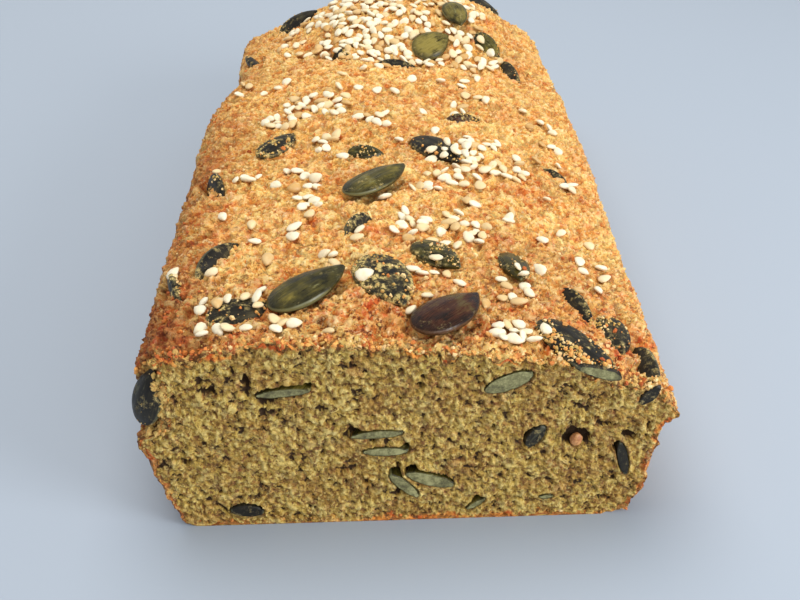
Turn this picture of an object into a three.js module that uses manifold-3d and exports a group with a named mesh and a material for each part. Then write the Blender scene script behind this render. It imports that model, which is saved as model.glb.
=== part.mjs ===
// Lentil and teff bread: a tin loaf with its front end sliced off, pumpkin seeds baked into the
// crust and the crumb, and sesame scattered over the top. Millimetres, Z up. X runs across the
// loaf, Y from the cut face to the far end, and the base lies on Z = 0.
import * as THREE from 'three';
import { mergeVertices } from 'three/addons/utils/BufferGeometryUtils.js';
import Module from 'manifold-3d';

const wasm = await Module();
wasm.setup();

// Loaf
const LOAF_LENGTH = 197;
const END_ROUNDING = 11;
const END_LEAN = 3.5;
const HALF_WIDTH = 50;
const HEIGHT = 46;

// Corners of the section from the base's left edge over the top to its right edge: x, z and the
// radius that rounds each one. The crown sits left of the middle and falls to the right, where
// the crust hangs over the line of the tin's rim as a lip.
const CUT_SECTION = [
  { x: -47.5, z: 0, r: 5 },
  { x: -54, z: 24, r: 30 },
  { x: -51.5, z: 42.3, r: 9.5 },
  { x: -8, z: 45.1, r: 70 },
  { x: 27, z: 39.3, r: 70 },
  { x: 47.7, z: 31.6, r: 4 },
  { x: 50.8, z: 25, r: 1.4 },
  { x: 47.6, z: 23, r: 1.2 },
  { x: 44.6, z: 0, r: 8 },
];
const FAR_SECTION = [
  { x: -42.5, z: 0, r: 6 },
  { x: -47.3, z: 24, r: 30 },
  { x: -47.2, z: 35.6, r: 6 },
  { x: -12, z: 51.2, r: 30 },
  { x: 25, z: 51.8, r: 26 },
  { x: 48.2, z: 36, r: 6 },
  { x: 50.6, z: 27, r: 4 },
  { x: 49, z: 23, r: 4 },
  { x: 44.5, z: 0, r: 8 },
];
const [WALL_LEFT, SHOULDER_LEFT, CROWN_LEFT, CROWN_RIGHT, SHOULDER_RIGHT, LIP] = [1, 2, 3, 4, 5, 6];

// The crown rises again behind a saddle, and the left side draws in beside it.
const HUMP_FROM = 140;
const HUMP_TO = 168;
const NOTCH_FROM = 108;
const NOTCH_TO = 134;
const WAIST = { y: 140, reach: 13, depth: 3 };
const SADDLE = { y: 145, reach: 8, depth: 2.6 };
const DRIFT_TO = 120;
const WIDENING = { left: 0.8, right: 2, lipRise: 1, shoulderRise: 2.5, crownRise: 1.5 };
const END_FALL = { from: 176, depth: 7 };

// Relief of the crust and the cut
const LUMP = { size: 14, height: 1.3 };
const CRAG = { size: 7, height: 1 };
const CUT_RELIEF = 0.7;
const RELIEF_FREE_HEIGHT = 0.6;
const RELIEF_FULL_HEIGHT = 5;

// Grid of the core
const RING_STEP = 6.4;
const CRUST_COLUMNS = 36;
const BASE_COLUMNS = 3;
const CAP_RINGS = [0.3, 0.65];
const END_RING_STEPS = 3;
const CAP_CENTRE_Z = 20;
const END_DOME = 1.2;

// Seeds
const GAP = 0.32;
const LARGE_SEED = 16.5;
const SEED_SIDES = { large: 10, small: 8 };
const SEED_RINGS = [1, 0.66];
const SEED_TAPER = 0.2;
const SESAME = { length: 3.4, width: 2.2, height: 0.75, sunk: 0.25, sides: 6, shoulder: 0.6 };
const SESAME_SPACING = 2.7;
const SESAME_CLEARANCE = 1.9;
const DRAW_SEED = 4127;

const COLOURS = {
  loaf: { color: 0xc98a45, roughness: 0.9 },
  olive: { color: 0x4c4a28, roughness: 0.45 },
  dark: { color: 0x28281f, roughness: 0.55 },
  brown: { color: 0x2f211c, roughness: 0.35 },
  flesh: { color: 0x8f8f62, roughness: 0.6 },
};

// Pumpkin seeds in the crust. u is the way round the crust, from 0 at the base's left edge to 1
// at its right edge, and y the way along. heading turns the long axis from across the loaf
// towards its far end, roll and pitch tip the seed about its long and its wide axis, and lift is
// the height of its middle over the crust.
const CRUST_SEEDS = [
  { name: 'green_by_cut', skin: 'olive', size: [18.1, 9.7, 3.6],
    u: 0.409, y: 17.4, heading: 38, roll: -5, pitch: 4, lift: 1 },
  { name: 'middle', skin: 'olive', size: [18.6, 8.9, 3.4],
    u: 0.479, y: 60.3, heading: 43, roll: -9, pitch: 4, lift: 1.1 },
  { name: 'brown_by_cut', skin: 'brown', size: [18.2, 9.7, 3.6],
    u: 0.554, y: 10.4, heading: 46, roll: -8, pitch: 3, lift: 0.9 },
  { name: 'far_olive', skin: 'olive', size: [12.8, 9, 3.2],
    u: 0.56, y: 150.7, heading: 36, roll: 3, lift: 0.5 },
  { name: 'dusted', skin: 'dark', size: [18.4, 11, 3.4],
    u: 0.49, y: 20.9, heading: -68, roll: 4, lift: -0.2 },
  { name: 'left_dusted', skin: 'dark', size: [13.6, 7.2, 3],
    u: 0.348, y: 83.5, heading: 52, lift: -0.1 },
  { name: 'left_edge', skin: 'dark', size: [17.4, 9, 3],
    u: 0.306, y: 33, heading: 62, roll: 68, lift: -2.4 },
  { name: 'left_sunk', skin: 'dark', size: [13, 8, 3],
    u: 0.338, y: 12.7, heading: 22, roll: 12, lift: -0.7 },
  { name: 'right_flat', skin: 'olive', size: [13, 7.4, 3],
    u: 0.549, y: 32.2, heading: -46, roll: 7, pitch: 6, lift: -0.2 },
  { name: 'right_tipped', skin: 'olive', size: [13.7, 6.8, 3],
    u: 0.6385, y: 31.8, heading: -88, roll: -3, pitch: 10, lift: -0.4 },
  { name: 'right_cut', skin: 'dark', size: [21, 10.8, 3.2],
    u: 0.694, y: 5.4, heading: -47, lift: -0.6 },
  { name: 'under_sesame', skin: 'dark', size: [16.2, 9.6, 3.2],
    u: 0.56, y: 81, heading: -52, roll: 3, pitch: 5, lift: 0.2 },
  { name: 'far_right_edge', skin: 'dark', size: [15.4, 6.6, 3],
    u: 0.6895, y: 143.4, heading: -69, roll: 62, lift: -0.7 },
  { name: 'far_right_small', skin: 'olive', size: [11, 6.4, 2.6],
    u: 0.657, y: 153.5, heading: -38, roll: 10, lift: -0.5 },
  { name: 'far_crown', skin: 'olive', size: [11.8, 7.6, 3],
    u: 0.599, y: 161.8, heading: -74, pitch: 6, lift: 0.5 },
  { name: 'far_left_edge', skin: 'dark', size: [15.2, 6.8, 3],
    u: 0.322, y: 178, heading: 26, roll: 46, pitch: 4, lift: -1 },
  { name: 'saddle_sliver', skin: 'dark', size: [15, 8, 2.8],
    u: 0.506, y: 139.6, heading: 6, roll: 66, lift: -2.8 },
  { name: 'far_left_side', skin: 'dark', size: [13, 7, 2.8],
    u: 0.262, y: 149, heading: -80, roll: -58, lift: -1.4 },
  { name: 'mid_sliver', skin: 'dark', size: [13, 7.4, 2.8],
    u: 0.463, y: 43, heading: 61, roll: 64, lift: -2 },
  { name: 'right_sliver', skin: 'dark', size: [13.5, 6.6, 2.6],
    u: 0.706, y: 21.4, heading: -66, roll: 66, lift: -1.9 },
  { name: 'right_ragged', skin: 'dark', size: [12.4, 7, 2.8],
    u: 0.743, y: 14.8, heading: -84, roll: 12, lift: -0.7 },
  { name: 'right_edge_cut', skin: 'dark', size: [17.4, 8, 3],
    u: 0.771, y: 5.2, heading: -88, roll: 72, lift: -2.4 },
  { name: 'left_wall_cut', skin: 'dark', size: [13.3, 6.6, 3.4],
    u: 0.1953, y: 2.6, heading: 3, roll: 53, pitch: -10, lift: -2.9 },
  { name: 'mid_chip', skin: 'olive', size: [9, 5, 2.6],
    u: 0.466, y: 77.5, heading: -4, roll: 30, lift: -1.3 },
  { name: 'back_sliver', skin: 'brown', size: [13, 7, 2.8],
    u: 0.607, y: 102, heading: 24, roll: 62, lift: -2.2 },
  { name: 'right_small', skin: 'dark', size: [10.5, 6.4, 2.6],
    u: 0.725, y: 79, heading: -32, roll: 62, lift: -2.5 },
  { name: 'left_shoulder', skin: 'dark', size: [13, 7.4, 2.8],
    u: 0.255, y: 24.4, heading: -72, roll: 66, lift: -2.2 },
  { name: 'left_far_shoulder', skin: 'dark', size: [13, 7, 2.8],
    u: 0.277, y: 65.5, heading: -71, roll: 64, lift: -1.9 },
  { name: 'far_chip', skin: 'dark', size: [10.5, 6.4, 2.6],
    u: 0.41, y: 144.5, heading: -60, roll: 56, lift: -1.4 },
  { name: 'left_wall_front', skin: 'dark', size: [15.5, 8.4, 3],
    u: 0.1, y: 47, heading: 24, roll: 6, lift: -0.8 },
  { name: 'left_wall_back', skin: 'dark', size: [15, 8, 3],
    u: 0.14, y: 116, heading: -35, roll: 50, lift: -1.3 },
  { name: 'right_wall_front', skin: 'dark', size: [16, 8.6, 3],
    u: 0.93, y: 62, heading: 70, lift: -0.8 },
  { name: 'right_wall_back', skin: 'olive', size: [14.5, 8, 3],
    u: 0.91, y: 128, heading: 15, roll: 50, lift: -1.3 },
  { name: 'far_slope', skin: 'olive', size: [16, 8.8, 3.2],
    u: 0.5, y: 181, heading: 12, lift: 0.2 },
  { name: 'far_corner', skin: 'dark', size: [14.5, 8, 3],
    u: 0.66, y: 186, heading: -20, roll: 30, lift: -0.6 },
];

// Pumpkin seeds that the knife went through. x and z place the section on the cut face, slope
// turns it there, and swing turns the long axis away from straight into the loaf. Its kernel is
// pale unless skin names another colour.
const CUT_SEEDS = [
  { name: 'cut_upper_left', x: -25, z: 33.4, slope: 5, swing: 22, depth: 2, size: [16, 9.4, 1.9] },
  { name: 'cut_middle_top', x: -7.7, z: 22.8, slope: 4, swing: 24, depth: 1.5, size: [16, 9.2, 1.9] },
  { name: 'cut_middle', x: -6.3, z: 18.5, slope: 0, swing: 10, depth: 3, size: [16, 8.8, 2.2] },
  { name: 'cut_low_left', x: -2.5, z: 9.4, slope: -47, swing: 0, depth: 3, size: [15, 8.2, 2.5] },
  { name: 'cut_low_right', x: 2.6, z: 10.9, slope: -20, swing: 14, depth: 1, size: [16, 9.6, 2.9] },
  { name: 'cut_upper_right', x: 16.8, z: 34.7, slope: 24, swing: 12, depth: 1, size: [16, 9, 3.6] },
  { name: 'cut_dark', x: 22.6, z: 21.2, slope: 60, swing: 0, depth: 4.5, size: [13, 6.6, 3.6], skin: 'dark' },
  { name: 'cut_right_crack', x: 40.3, z: 15, slope: 104, swing: 0, depth: 3, size: [14, 8.4, 2.1], skin: 'dark' },
  { name: 'cut_base_left', x: -33.8, z: 3.7, slope: -6, swing: 0, depth: 4, size: [14, 7, 3.2], skin: 'dark' },
  { name: 'cut_base_sliver', x: 11.8, z: 3.9, slope: 36, swing: 0, depth: 4.5, size: [13, 5.4, 1.8] },
  { name: 'cut_chip', x: 25.9, z: 5.4, slope: 2, swing: 0, depth: 4, size: [11, 3.4, 1.6] },
];

// The loaf's corner in front of this seed has broken away, so its pocket runs out to the cut.
const BROKEN_CORNER = { seed: 'left_wall_cut', towards: [-1.5, -6, 0] };

// Sesame fields on the crust: the middle, half the reach across and along, and how many.
const SESAME_FIELDS = [
  { u: 0.57, y: 71, across: 11, along: 8, count: 10 },
  { u: 0.58, y: 45, across: 15, along: 12, count: 16 },
  { u: 0.62, y: 9, across: 9, along: 5, count: 7 },
  { u: 0.63, y: 22, across: 9, along: 7, count: 8 },
  { u: 0.38, y: 7, across: 13, along: 4, count: 5 },
  { u: 0.31, y: 12, across: 6, along: 8, count: 3 },
  { u: 0.37, y: 104, across: 17, along: 11, count: 10 },
  { u: 0.45, y: 88, across: 20, along: 12, count: 5 },
  { u: 0.65, y: 80, across: 13, along: 14, count: 8 },
  { u: 0.4, y: 52, across: 12, along: 12, count: 4 },
  { u: 0.33, y: 66, across: 8, along: 12, count: 3 },
  { u: 0.52, y: 157, across: 30, along: 16, count: 18 },
  { u: 0.6, y: 143, across: 14, along: 8, count: 6 },
  { u: 0.5, y: 120, across: 30, along: 12, count: 5 },
  { u: 0.72, y: 55, across: 8, along: 22, count: 4 },
  { u: 0.24, y: 70, across: 12, along: 60, count: 3 },
  { u: 0.5, y: 178, across: 30, along: 6, count: 4 },
];

const lerp = THREE.MathUtils.lerp;
const smooth = (from, to, y) => THREE.MathUtils.smoothstep(y, from, to);
const bump = ({ y: middle, reach, depth }, y) => depth * Math.exp(-(((y - middle) / reach) ** 2));

// Corners of the section at y, between the cut and the far hump.
function sectionCorners(y) {
  const hump = smooth(HUMP_FROM, HUMP_TO, y);
  const notch = smooth(NOTCH_FROM, NOTCH_TO, y);
  const drift = smooth(0, DRIFT_TO, y) * (1 - hump);
  const saddle = bump(SADDLE, y);
  const fall = END_FALL.depth * smooth(END_FALL.from, LOAF_LENGTH + 6, y);
  return CUT_SECTION.map((near, index) => {
    const far = FAR_SECTION[index];
    const side = index <= SHOULDER_LEFT ? notch : hump;
    const corner = {
      x: lerp(near.x, far.x, side),
      z: lerp(near.z, far.z, hump),
      r: lerp(near.r, far.r, side),
    };
    if (index <= SHOULDER_LEFT) corner.x += bump(WAIST, y);
    if (index === WALL_LEFT || index === SHOULDER_LEFT) {
      corner.x += WIDENING.left * smooth(0, DRIFT_TO, y) * (1 - notch);
    }
    if (index >= SHOULDER_RIGHT && index <= LIP + 1) {
      corner.x += WIDENING.right * drift;
      corner.z += (index === SHOULDER_RIGHT ? WIDENING.shoulderRise : WIDENING.lipRise) * drift;
    }
    if (index === CROWN_LEFT || index === CROWN_RIGHT) {
      corner.z += WIDENING.crownRise * drift - fall - saddle * (index === CROWN_LEFT ? 1 : 0.6);
    }
    if (index === SHOULDER_LEFT || index === SHOULDER_RIGHT) corner.z -= 0.6 * fall;
    return corner;
  });
}

// The open outline over the crust: straight stretches joined by an arc at every corner.
function roundedOutline(corners) {
  const points = corners.map((corner) => new THREE.Vector2(corner.x, corner.z));
  const before = points[0].clone().add(new THREE.Vector2(20, 0));
  const after = points.at(-1).clone().sub(new THREE.Vector2(20, 0));
  const chain = [before, ...points, after];
  const path = new THREE.CurvePath();
  let from = null;
  corners.forEach((corner, index) => {
    const [a, b, c] = chain.slice(index, index + 3);
    const toA = a.clone().sub(b);
    const toC = c.clone().sub(b);
    const room = 0.48 * Math.min(toA.length(), toC.length());
    toA.normalize();
    toC.normalize();
    const half = Math.acos(THREE.MathUtils.clamp(toA.dot(toC), -1, 1)) / 2;
    const tangent = Math.min(corner.r / Math.tan(half), room);
    const radius = tangent * Math.tan(half);
    const start = b.clone().addScaledVector(toA, tangent);
    const end = b.clone().addScaledVector(toC, tangent);
    const middle = toA.clone().add(toC).normalize().multiplyScalar(radius / Math.sin(half)).add(b);
    const startAngle = Math.atan2(start.y - middle.y, start.x - middle.x);
    const endAngle = Math.atan2(end.y - middle.y, end.x - middle.x);
    const turn = THREE.MathUtils.euclideanModulo(endAngle - startAngle + Math.PI, 2 * Math.PI) - Math.PI;
    if (from) path.add(new THREE.LineCurve(from, start));
    path.add(new ArcCurve(middle, radius, startAngle, turn));
    from = end;
  });
  return path;
}

// An arc of a circle that may turn either way.
class ArcCurve extends THREE.Curve {
  constructor(middle, radius, startAngle, turn) {
    super();
    Object.assign(this, { middle, radius, startAngle, turn });
  }

  getPoint(share, target = new THREE.Vector2()) {
    const angle = this.startAngle + this.turn * share;
    target.set(Math.cos(angle), Math.sin(angle));
    return target.multiplyScalar(this.radius).add(this.middle);
  }

  getLength() {
    return Math.abs(this.turn) * this.radius;
  }
}

const outlines = new Map();
function outlineAt(y) {
  if (!outlines.has(y)) outlines.set(y, roundedOutline(sectionCorners(y)));
  return outlines.get(y);
}

// A place on the smooth crust. Near the far end the section shrinks to round its edges, and the
// end wall leans out from the base as the tin does.
function crustPoint(u, y) {
  const flat = outlineAt(y).getPoint(THREE.MathUtils.clamp(u, 0, 1));
  const past = Math.max(0, y - (LOAF_LENGTH - END_ROUNDING));
  const inset = END_ROUNDING - Math.sqrt(Math.max(0, END_ROUNDING ** 2 - past ** 2));
  const x = flat.x * (1 - inset / HALF_WIDTH);
  const z = Math.max(0, flat.y * (1 - inset / HEIGHT));
  const lean = END_LEAN * (1 - Math.min(1, z / HEIGHT)) * smooth(LOAF_LENGTH / 2, LOAF_LENGTH, y);
  return new THREE.Vector3(x, y - lean, z);
}

// Directions on the crust: across it, along it and out of it.
function crustFrame(u, y) {
  const stepU = 0.004;
  const stepY = 1;
  const back = Math.min(y + stepY, LOAF_LENGTH);
  const across = crustPoint(u + stepU, y).sub(crustPoint(u - stepU, y)).normalize();
  const along = crustPoint(u, back).sub(crustPoint(u, Math.max(0, y - stepY)));
  const out = across.clone().cross(along).normalize();
  return { across, along: out.clone().cross(across), out };
}

const cell = (i, j, k) => {
  const value = Math.sin(i * 127.1 + j * 311.7 + k * 74.7) * 43758.5453;
  return value - Math.floor(value);
};

// Smooth noise from 0 to 1 over a lattice of the given size.
function noise(point, size) {
  const scaled = point.clone().divideScalar(size);
  const base = scaled.clone().floor();
  const share = scaled.sub(base).toArray().map((t) => t * t * (3 - 2 * t));
  let sum = 0;
  for (let corner = 0; corner < 8; corner += 1) {
    const step = [corner & 1, (corner >> 1) & 1, corner >> 2];
    const weights = step.map((bit, axis) => (bit ? share[axis] : 1 - share[axis]));
    const weight = weights[0] * weights[1] * weights[2];
    sum += weight * cell(base.x + step[0], base.y + step[1], base.z + step[2]);
  }
  return sum;
}

// The crust with its lumps and crags, which fade out at the flat base.
function craggyPoint(u, y) {
  const point = crustPoint(u, y);
  const fade = smooth(RELIEF_FREE_HEIGHT, RELIEF_FULL_HEIGHT, point.z);
  if (fade === 0) return point;
  const lumps = (noise(point, LUMP.size) - 0.5) * LUMP.height;
  const crags = (noise(point, CRAG.size) - 0.5) * CRAG.height;
  const normal = crustFrame(u, y).out;
  if (y === 0) normal.setY(0);
  return point.addScaledVector(normal, (lumps + crags) * fade);
}

// Rings of the core along the loaf, closer together where the far end rounds off.
function ringPlaces() {
  const straight = LOAF_LENGTH - END_ROUNDING;
  const count = Math.round(straight / RING_STEP);
  const places = Array.from({ length: count + 1 }, (_, index) => (straight * index) / count);
  for (let step = 1; step <= END_RING_STEPS; step += 1) {
    places.push(straight + END_ROUNDING * Math.sin((step / END_RING_STEPS) * (Math.PI / 2)));
  }
  return places;
}

const ringYs = ringPlaces();
const crustGrid = ringYs.map((y) =>
  Array.from({ length: CRUST_COLUMNS + 1 }, (_, column) => craggyPoint(column / CRUST_COLUMNS, y)));

// The base joins the crust's two lower edges on Z = 0.
function fullRing(row) {
  const right = row.at(-1);
  const left = row[0];
  const base = Array.from({ length: BASE_COLUMNS - 1 }, (_, index) =>
    right.clone().lerp(left, (index + 1) / BASE_COLUMNS));
  return [...row, ...base];
}

// An indexed closed mesh, gathered vertex by vertex.
class MeshBuilder {
  constructor() {
    this.positions = [];
    this.indices = [];
  }

  add(point) {
    this.positions.push(point.x, point.y, point.z);
    return this.positions.length / 3 - 1;
  }

  addRing(points) {
    return points.map((point) => this.add(point));
  }

  band(lower, upper) {
    lower.forEach((a, index) => {
      const b = lower[(index + 1) % lower.length];
      const c = upper[(index + 1) % upper.length];
      const d = upper[index];
      this.indices.push(a, c, b, a, d, c);
    });
  }

  fan(ring, centre, facesDown) {
    ring.forEach((a, index) => {
      const b = ring[(index + 1) % ring.length];
      if (facesDown) this.indices.push(a, centre, b);
      else this.indices.push(a, b, centre);
    });
  }

  lid(ring, facesDown) {
    for (let index = 1; index < ring.length - 1; index += 1) {
      const [b, c] = [ring[index], ring[index + 1]];
      if (facesDown) this.indices.push(ring[0], c, b);
      else this.indices.push(ring[0], b, c);
    }
  }

  geometry() {
    const geometry = new THREE.BufferGeometry();
    geometry.setAttribute('position', new THREE.Float32BufferAttribute(this.positions, 3));
    geometry.setIndex(this.indices);
    return geometry;
  }
}

// A cap of shrinking rings over the end ring, pushed along Y by depthAt.
function cap(builder, ringIndices, ringPoints, centre, depthAt, facesFront) {
  let outer = ringIndices;
  CAP_RINGS.forEach((share) => {
    const inner = builder.addRing(ringPoints.map((point) => {
      const moved = point.clone().lerp(centre, share);
      return moved.setY(depthAt(moved, share));
    }));
    if (facesFront) builder.band(outer, inner);
    else builder.band(inner, outer);
    outer = inner;
  });
  const middle = builder.add(centre.clone().setY(depthAt(centre, 1)));
  builder.fan(outer, middle, facesFront);
}

function loafCore() {
  const builder = new MeshBuilder();
  const rings = crustGrid.map(fullRing);
  const indices = rings.map((ring) => builder.addRing(ring));
  for (let row = 0; row < rings.length - 1; row += 1) builder.band(indices[row + 1], indices[row]);
  const cutCentre = new THREE.Vector3(-4, 0, CAP_CENTRE_Z);
  cap(builder, indices[0], rings[0], cutCentre, (point) => CUT_RELIEF * noise(point, CRAG.size), true);
  const endCentre = new THREE.Vector3(2, LOAF_LENGTH, CAP_CENTRE_Z);
  const domeAt = (point, share) => {
    const lean = END_LEAN * (1 - Math.min(1, point.z / HEIGHT));
    return LOAF_LENGTH - lean + END_DOME * share * (2 - share) - CUT_RELIEF * noise(point, CRAG.size);
  };
  cap(builder, indices.at(-1), rings.at(-1), endCentre, domeAt, false);
  return builder.geometry();
}

// A seed lies flat about its own origin: its long axis is X and its pointed end is at +X.
function seedGeometry([length, width, thickness], sides, ringShares, grow = 0) {
  const builder = new MeshBuilder();
  const half = new THREE.Vector3(length / 2 + grow, width / 2 + grow, thickness / 2 + grow);
  const ring = (share, side) => Array.from({ length: sides }, (_, index) => {
    const angle = (2 * Math.PI * index) / sides;
    const taper = 1 - SEED_TAPER * Math.cos(angle);
    const x = half.x * share * Math.cos(angle);
    const y = half.y * share * Math.sin(angle) * taper;
    return new THREE.Vector3(x, y, side * half.z * Math.sqrt(1 - share * share));
  });
  const rim = builder.addRing(ring(ringShares[0], 1));
  [1, -1].forEach((side) => {
    let outer = rim;
    ringShares.slice(1).forEach((share) => {
      const inner = builder.addRing(ring(share, side));
      if (side > 0) builder.band(inner, outer);
      else builder.band(outer, inner);
      outer = inner;
    });
    builder.fan(outer, builder.add(new THREE.Vector3(0, 0, side * half.z)), side < 0);
  });
  return builder.geometry();
}

// A sesame seed is a low teardrop dome: a rim, a narrower shoulder and a flat top and bottom.
function sesameGeometry() {
  const builder = new MeshBuilder();
  const ring = (share, z) => Array.from({ length: SESAME.sides }, (_, index) => {
    const angle = (2 * Math.PI * index) / SESAME.sides;
    const taper = 1 - SEED_TAPER * Math.cos(angle);
    const x = (SESAME.length / 2) * share * Math.cos(angle);
    const y = (SESAME.width / 2) * share * Math.sin(angle) * taper;
    return new THREE.Vector3(x, y, z);
  });
  const rim = builder.addRing(ring(1, -SESAME.sunk));
  const shoulder = builder.addRing(ring(SESAME.shoulder, SESAME.height));
  builder.band(shoulder, rim);
  builder.lid(shoulder, false);
  builder.lid(rim, true);
  return builder.geometry();
}

const pumpkinSeed = (size, grow = 0) => {
  const sides = size[0] > LARGE_SEED ? SEED_SIDES.large : SEED_SIDES.small;
  return seedGeometry(size, sides, SEED_RINGS, grow);
};

// The place of a crust seed as a matrix.
function crustPlace({ u, y, heading, roll = 0, pitch = 0, lift }) {
  const { across, along, out } = crustFrame(u, y);
  const turn = new THREE.Matrix4().makeRotationZ(THREE.MathUtils.degToRad(heading));
  const tip = new THREE.Matrix4().makeRotationY(THREE.MathUtils.degToRad(-pitch));
  const rolled = new THREE.Matrix4().makeRotationX(THREE.MathUtils.degToRad(roll));
  const place = new THREE.Matrix4().makeBasis(across, along, out);
  place.setPosition(crustPoint(u, y).addScaledVector(out, lift));
  return place.multiply(turn).multiply(tip).multiply(rolled);
}

// The place of a sectioned seed: its wide axis lies along the section on the cut face.
function cutPlace({ x, z, slope, swing, depth }) {
  const angle = THREE.MathUtils.degToRad(slope);
  const wide = new THREE.Vector3(Math.cos(angle), 0, Math.sin(angle));
  const long = new THREE.Vector3(0, 1, 0);
  const out = long.clone().cross(wide);
  const place = new THREE.Matrix4().makeBasis(long, wide, out);
  const turn = new THREE.Matrix4().makeRotationZ(THREE.MathUtils.degToRad(swing));
  const sideways = Math.tan(THREE.MathUtils.degToRad(swing)) * depth;
  place.setPosition(new THREE.Vector3(x, depth, z).addScaledVector(wide, sideways));
  return place.multiply(turn);
}

// Closed meshes in and out of the boolean library.
function toSolid(geometry, matrix = new THREE.Matrix4()) {
  const bare = geometry.clone().applyMatrix4(matrix);
  bare.deleteAttribute('normal');
  bare.deleteAttribute('uv');
  const merged = mergeVertices(bare, 1e-5);
  const vertProperties = new Float32Array(merged.attributes.position.array);
  const triVerts = new Uint32Array(merged.index.array);
  return new wasm.Manifold(new wasm.Mesh({ numProp: 3, vertProperties, triVerts }));
}

function toGeometry(solid) {
  const { vertProperties, triVerts } = solid.getMesh();
  const geometry = new THREE.BufferGeometry();
  geometry.setAttribute('position', new THREE.BufferAttribute(new Float32Array(vertProperties), 3));
  geometry.setIndex(new THREE.BufferAttribute(new Uint32Array(triVerts), 1));
  return geometry;
}

const withPlaces = (seeds, placeOf) => seeds.map((seed) => ({ ...seed, place: placeOf(seed) }));
const crustSeeds = withPlaces(CRUST_SEEDS, crustPlace);
const cutSeeds = withPlaces(CUT_SEEDS, cutPlace);

// The half space that the knife left, as a block behind the cut face.
const KNIFE_BLOCK = toSolid(
  new THREE.BoxGeometry(300, 300, 300),
  new THREE.Matrix4().makeTranslation(0, 150, 0),
);

function createRandom(seed) {
  let state = seed;
  return () => {
    state = (state * 16807) % 2147483647;
    return state / 2147483647;
  };
}

// A point on the core's own facets, with the facet's normal.
function onFacet(u, y) {
  const column = Math.min(CRUST_COLUMNS - 1, Math.floor(u * CRUST_COLUMNS));
  const row = Math.min(ringYs.length - 2, ringYs.findIndex((ringY) => ringY > y) - 1);
  const s = u * CRUST_COLUMNS - column;
  const t = (y - ringYs[row]) / (ringYs[row + 1] - ringYs[row]);
  const [a, b] = [crustGrid[row][column], crustGrid[row][column + 1]];
  const [d, c] = [crustGrid[row + 1][column], crustGrid[row + 1][column + 1]];
  const first = s > t ? b.clone().sub(a) : c.clone().sub(d);
  const second = s > t ? c.clone().sub(b) : d.clone().sub(a);
  const point = a.clone().addScaledVector(first, s).addScaledVector(second, t);
  return { point, normal: first.clone().cross(second).normalize() };
}

const isClearOfSeeds = (point) => crustSeeds.every(({ place, size }) => {
  const local = point.clone().applyMatrix4(place.clone().invert());
  const reach = size.map((extent) => extent / 2 + SESAME_CLEARANCE);
  const flat = (local.x / reach[0]) ** 2 + (local.y / reach[1]) ** 2;
  return flat > 1 || Math.abs(local.z) > reach[2] + 1;
});

// Sesame over its fields, none closer to the next than a seed's length or to a pumpkin seed.
function sesameSolids() {
  const random = createRandom(DRAW_SEED);
  const geometry = sesameGeometry();
  const taken = [];
  const solids = [];
  SESAME_FIELDS.forEach((field) => {
    const round = outlineAt(Math.round(field.y)).getLength();
    for (let placed = 0, tries = 0; placed < field.count && tries < field.count * 12; tries += 1) {
      const angle = 2 * Math.PI * random();
      const share = Math.sqrt(random());
      const heading = 2 * Math.PI * random();
      const u = field.u + (field.across * share * Math.cos(angle)) / round;
      const y = field.y + field.along * share * Math.sin(angle);
      if (y < 2 || y > LOAF_LENGTH - END_ROUNDING) continue;
      const { point, normal } = onFacet(u, y);
      if (taken.some((other) => other.distanceTo(point) < SESAME_SPACING)) continue;
      if (!isClearOfSeeds(point)) continue;
      const pointing = new THREE.Vector3(Math.cos(heading), Math.sin(heading), 0);
      const long = pointing.projectOnPlane(normal).normalize();
      const place = new THREE.Matrix4().makeBasis(long, normal.clone().cross(long), normal);
      place.setPosition(point);
      solids.push(toSolid(geometry, place));
      taken.push(point);
      placed += 1;
    }
  });
  return solids;
}

function seedPocket({ name, size, place }) {
  const pocket = toSolid(pumpkinSeed(size, GAP), place);
  if (name !== BROKEN_CORNER.seed) return pocket;
  return wasm.Manifold.hull([pocket, pocket.translate(BROKEN_CORNER.towards)]);
}

// The loaf: the core with a pocket round every pumpkin seed, and sesame fused to its crust.
function loafSolid() {
  const pockets = [...crustSeeds, ...cutSeeds].map(seedPocket);
  const core = toSolid(loafCore()).subtract(wasm.Manifold.union(pockets));
  const fused = core.add(wasm.Manifold.union(sesameSolids()));
  const pieces = fused.decompose();
  return pieces.reduce((best, piece) => (piece.volume() > best.volume() ? piece : best));
}

function material(name) {
  return new THREE.MeshStandardMaterial({ ...COLOURS[name], metalness: 0, name });
}

function namedMesh(name, geometry, finish) {
  const mesh = new THREE.Mesh(geometry, material(finish));
  mesh.name = name;
  return mesh;
}

// A whole seed keeps its own frame; one that the knife reached is trimmed in the loaf's frame.
function crustSeedMesh({ name, size, place, skin }) {
  const geometry = pumpkinSeed(size);
  const placed = geometry.clone().applyMatrix4(place);
  const reachesCut = new THREE.Box3().setFromBufferAttribute(placed.attributes.position).min.y < 0;
  if (reachesCut) {
    return namedMesh(`pepita_${name}`, toGeometry(toSolid(geometry, place).intersect(KNIFE_BLOCK)), skin);
  }
  const mesh = namedMesh(`pepita_${name}`, geometry, skin);
  place.decompose(mesh.position, mesh.quaternion, mesh.scale);
  return mesh;
}

function cutSeedMesh({ name, size, place, skin = 'flesh' }) {
  const geometry = pumpkinSeed(size);
  return namedMesh(`pepita_${name}`, toGeometry(toSolid(geometry, place).intersect(KNIFE_BLOCK)), skin);
}

const group = new THREE.Group();
group.add(namedMesh('loaf', toGeometry(loafSolid()), 'loaf'));
const toppings = new THREE.Group();
toppings.add(...crustSeeds.map(crustSeedMesh));
const sectioned = new THREE.Group();
sectioned.add(...cutSeeds.map(cutSeedMesh));
group.add(toppings, sectioned);

// The origin is the middle of the base.
const box = new THREE.Box3().setFromObject(group, true);
group.position.set(-(box.min.x + box.max.x) / 2, -(box.min.y + box.max.y) / 2, 0);

export default group;
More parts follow.
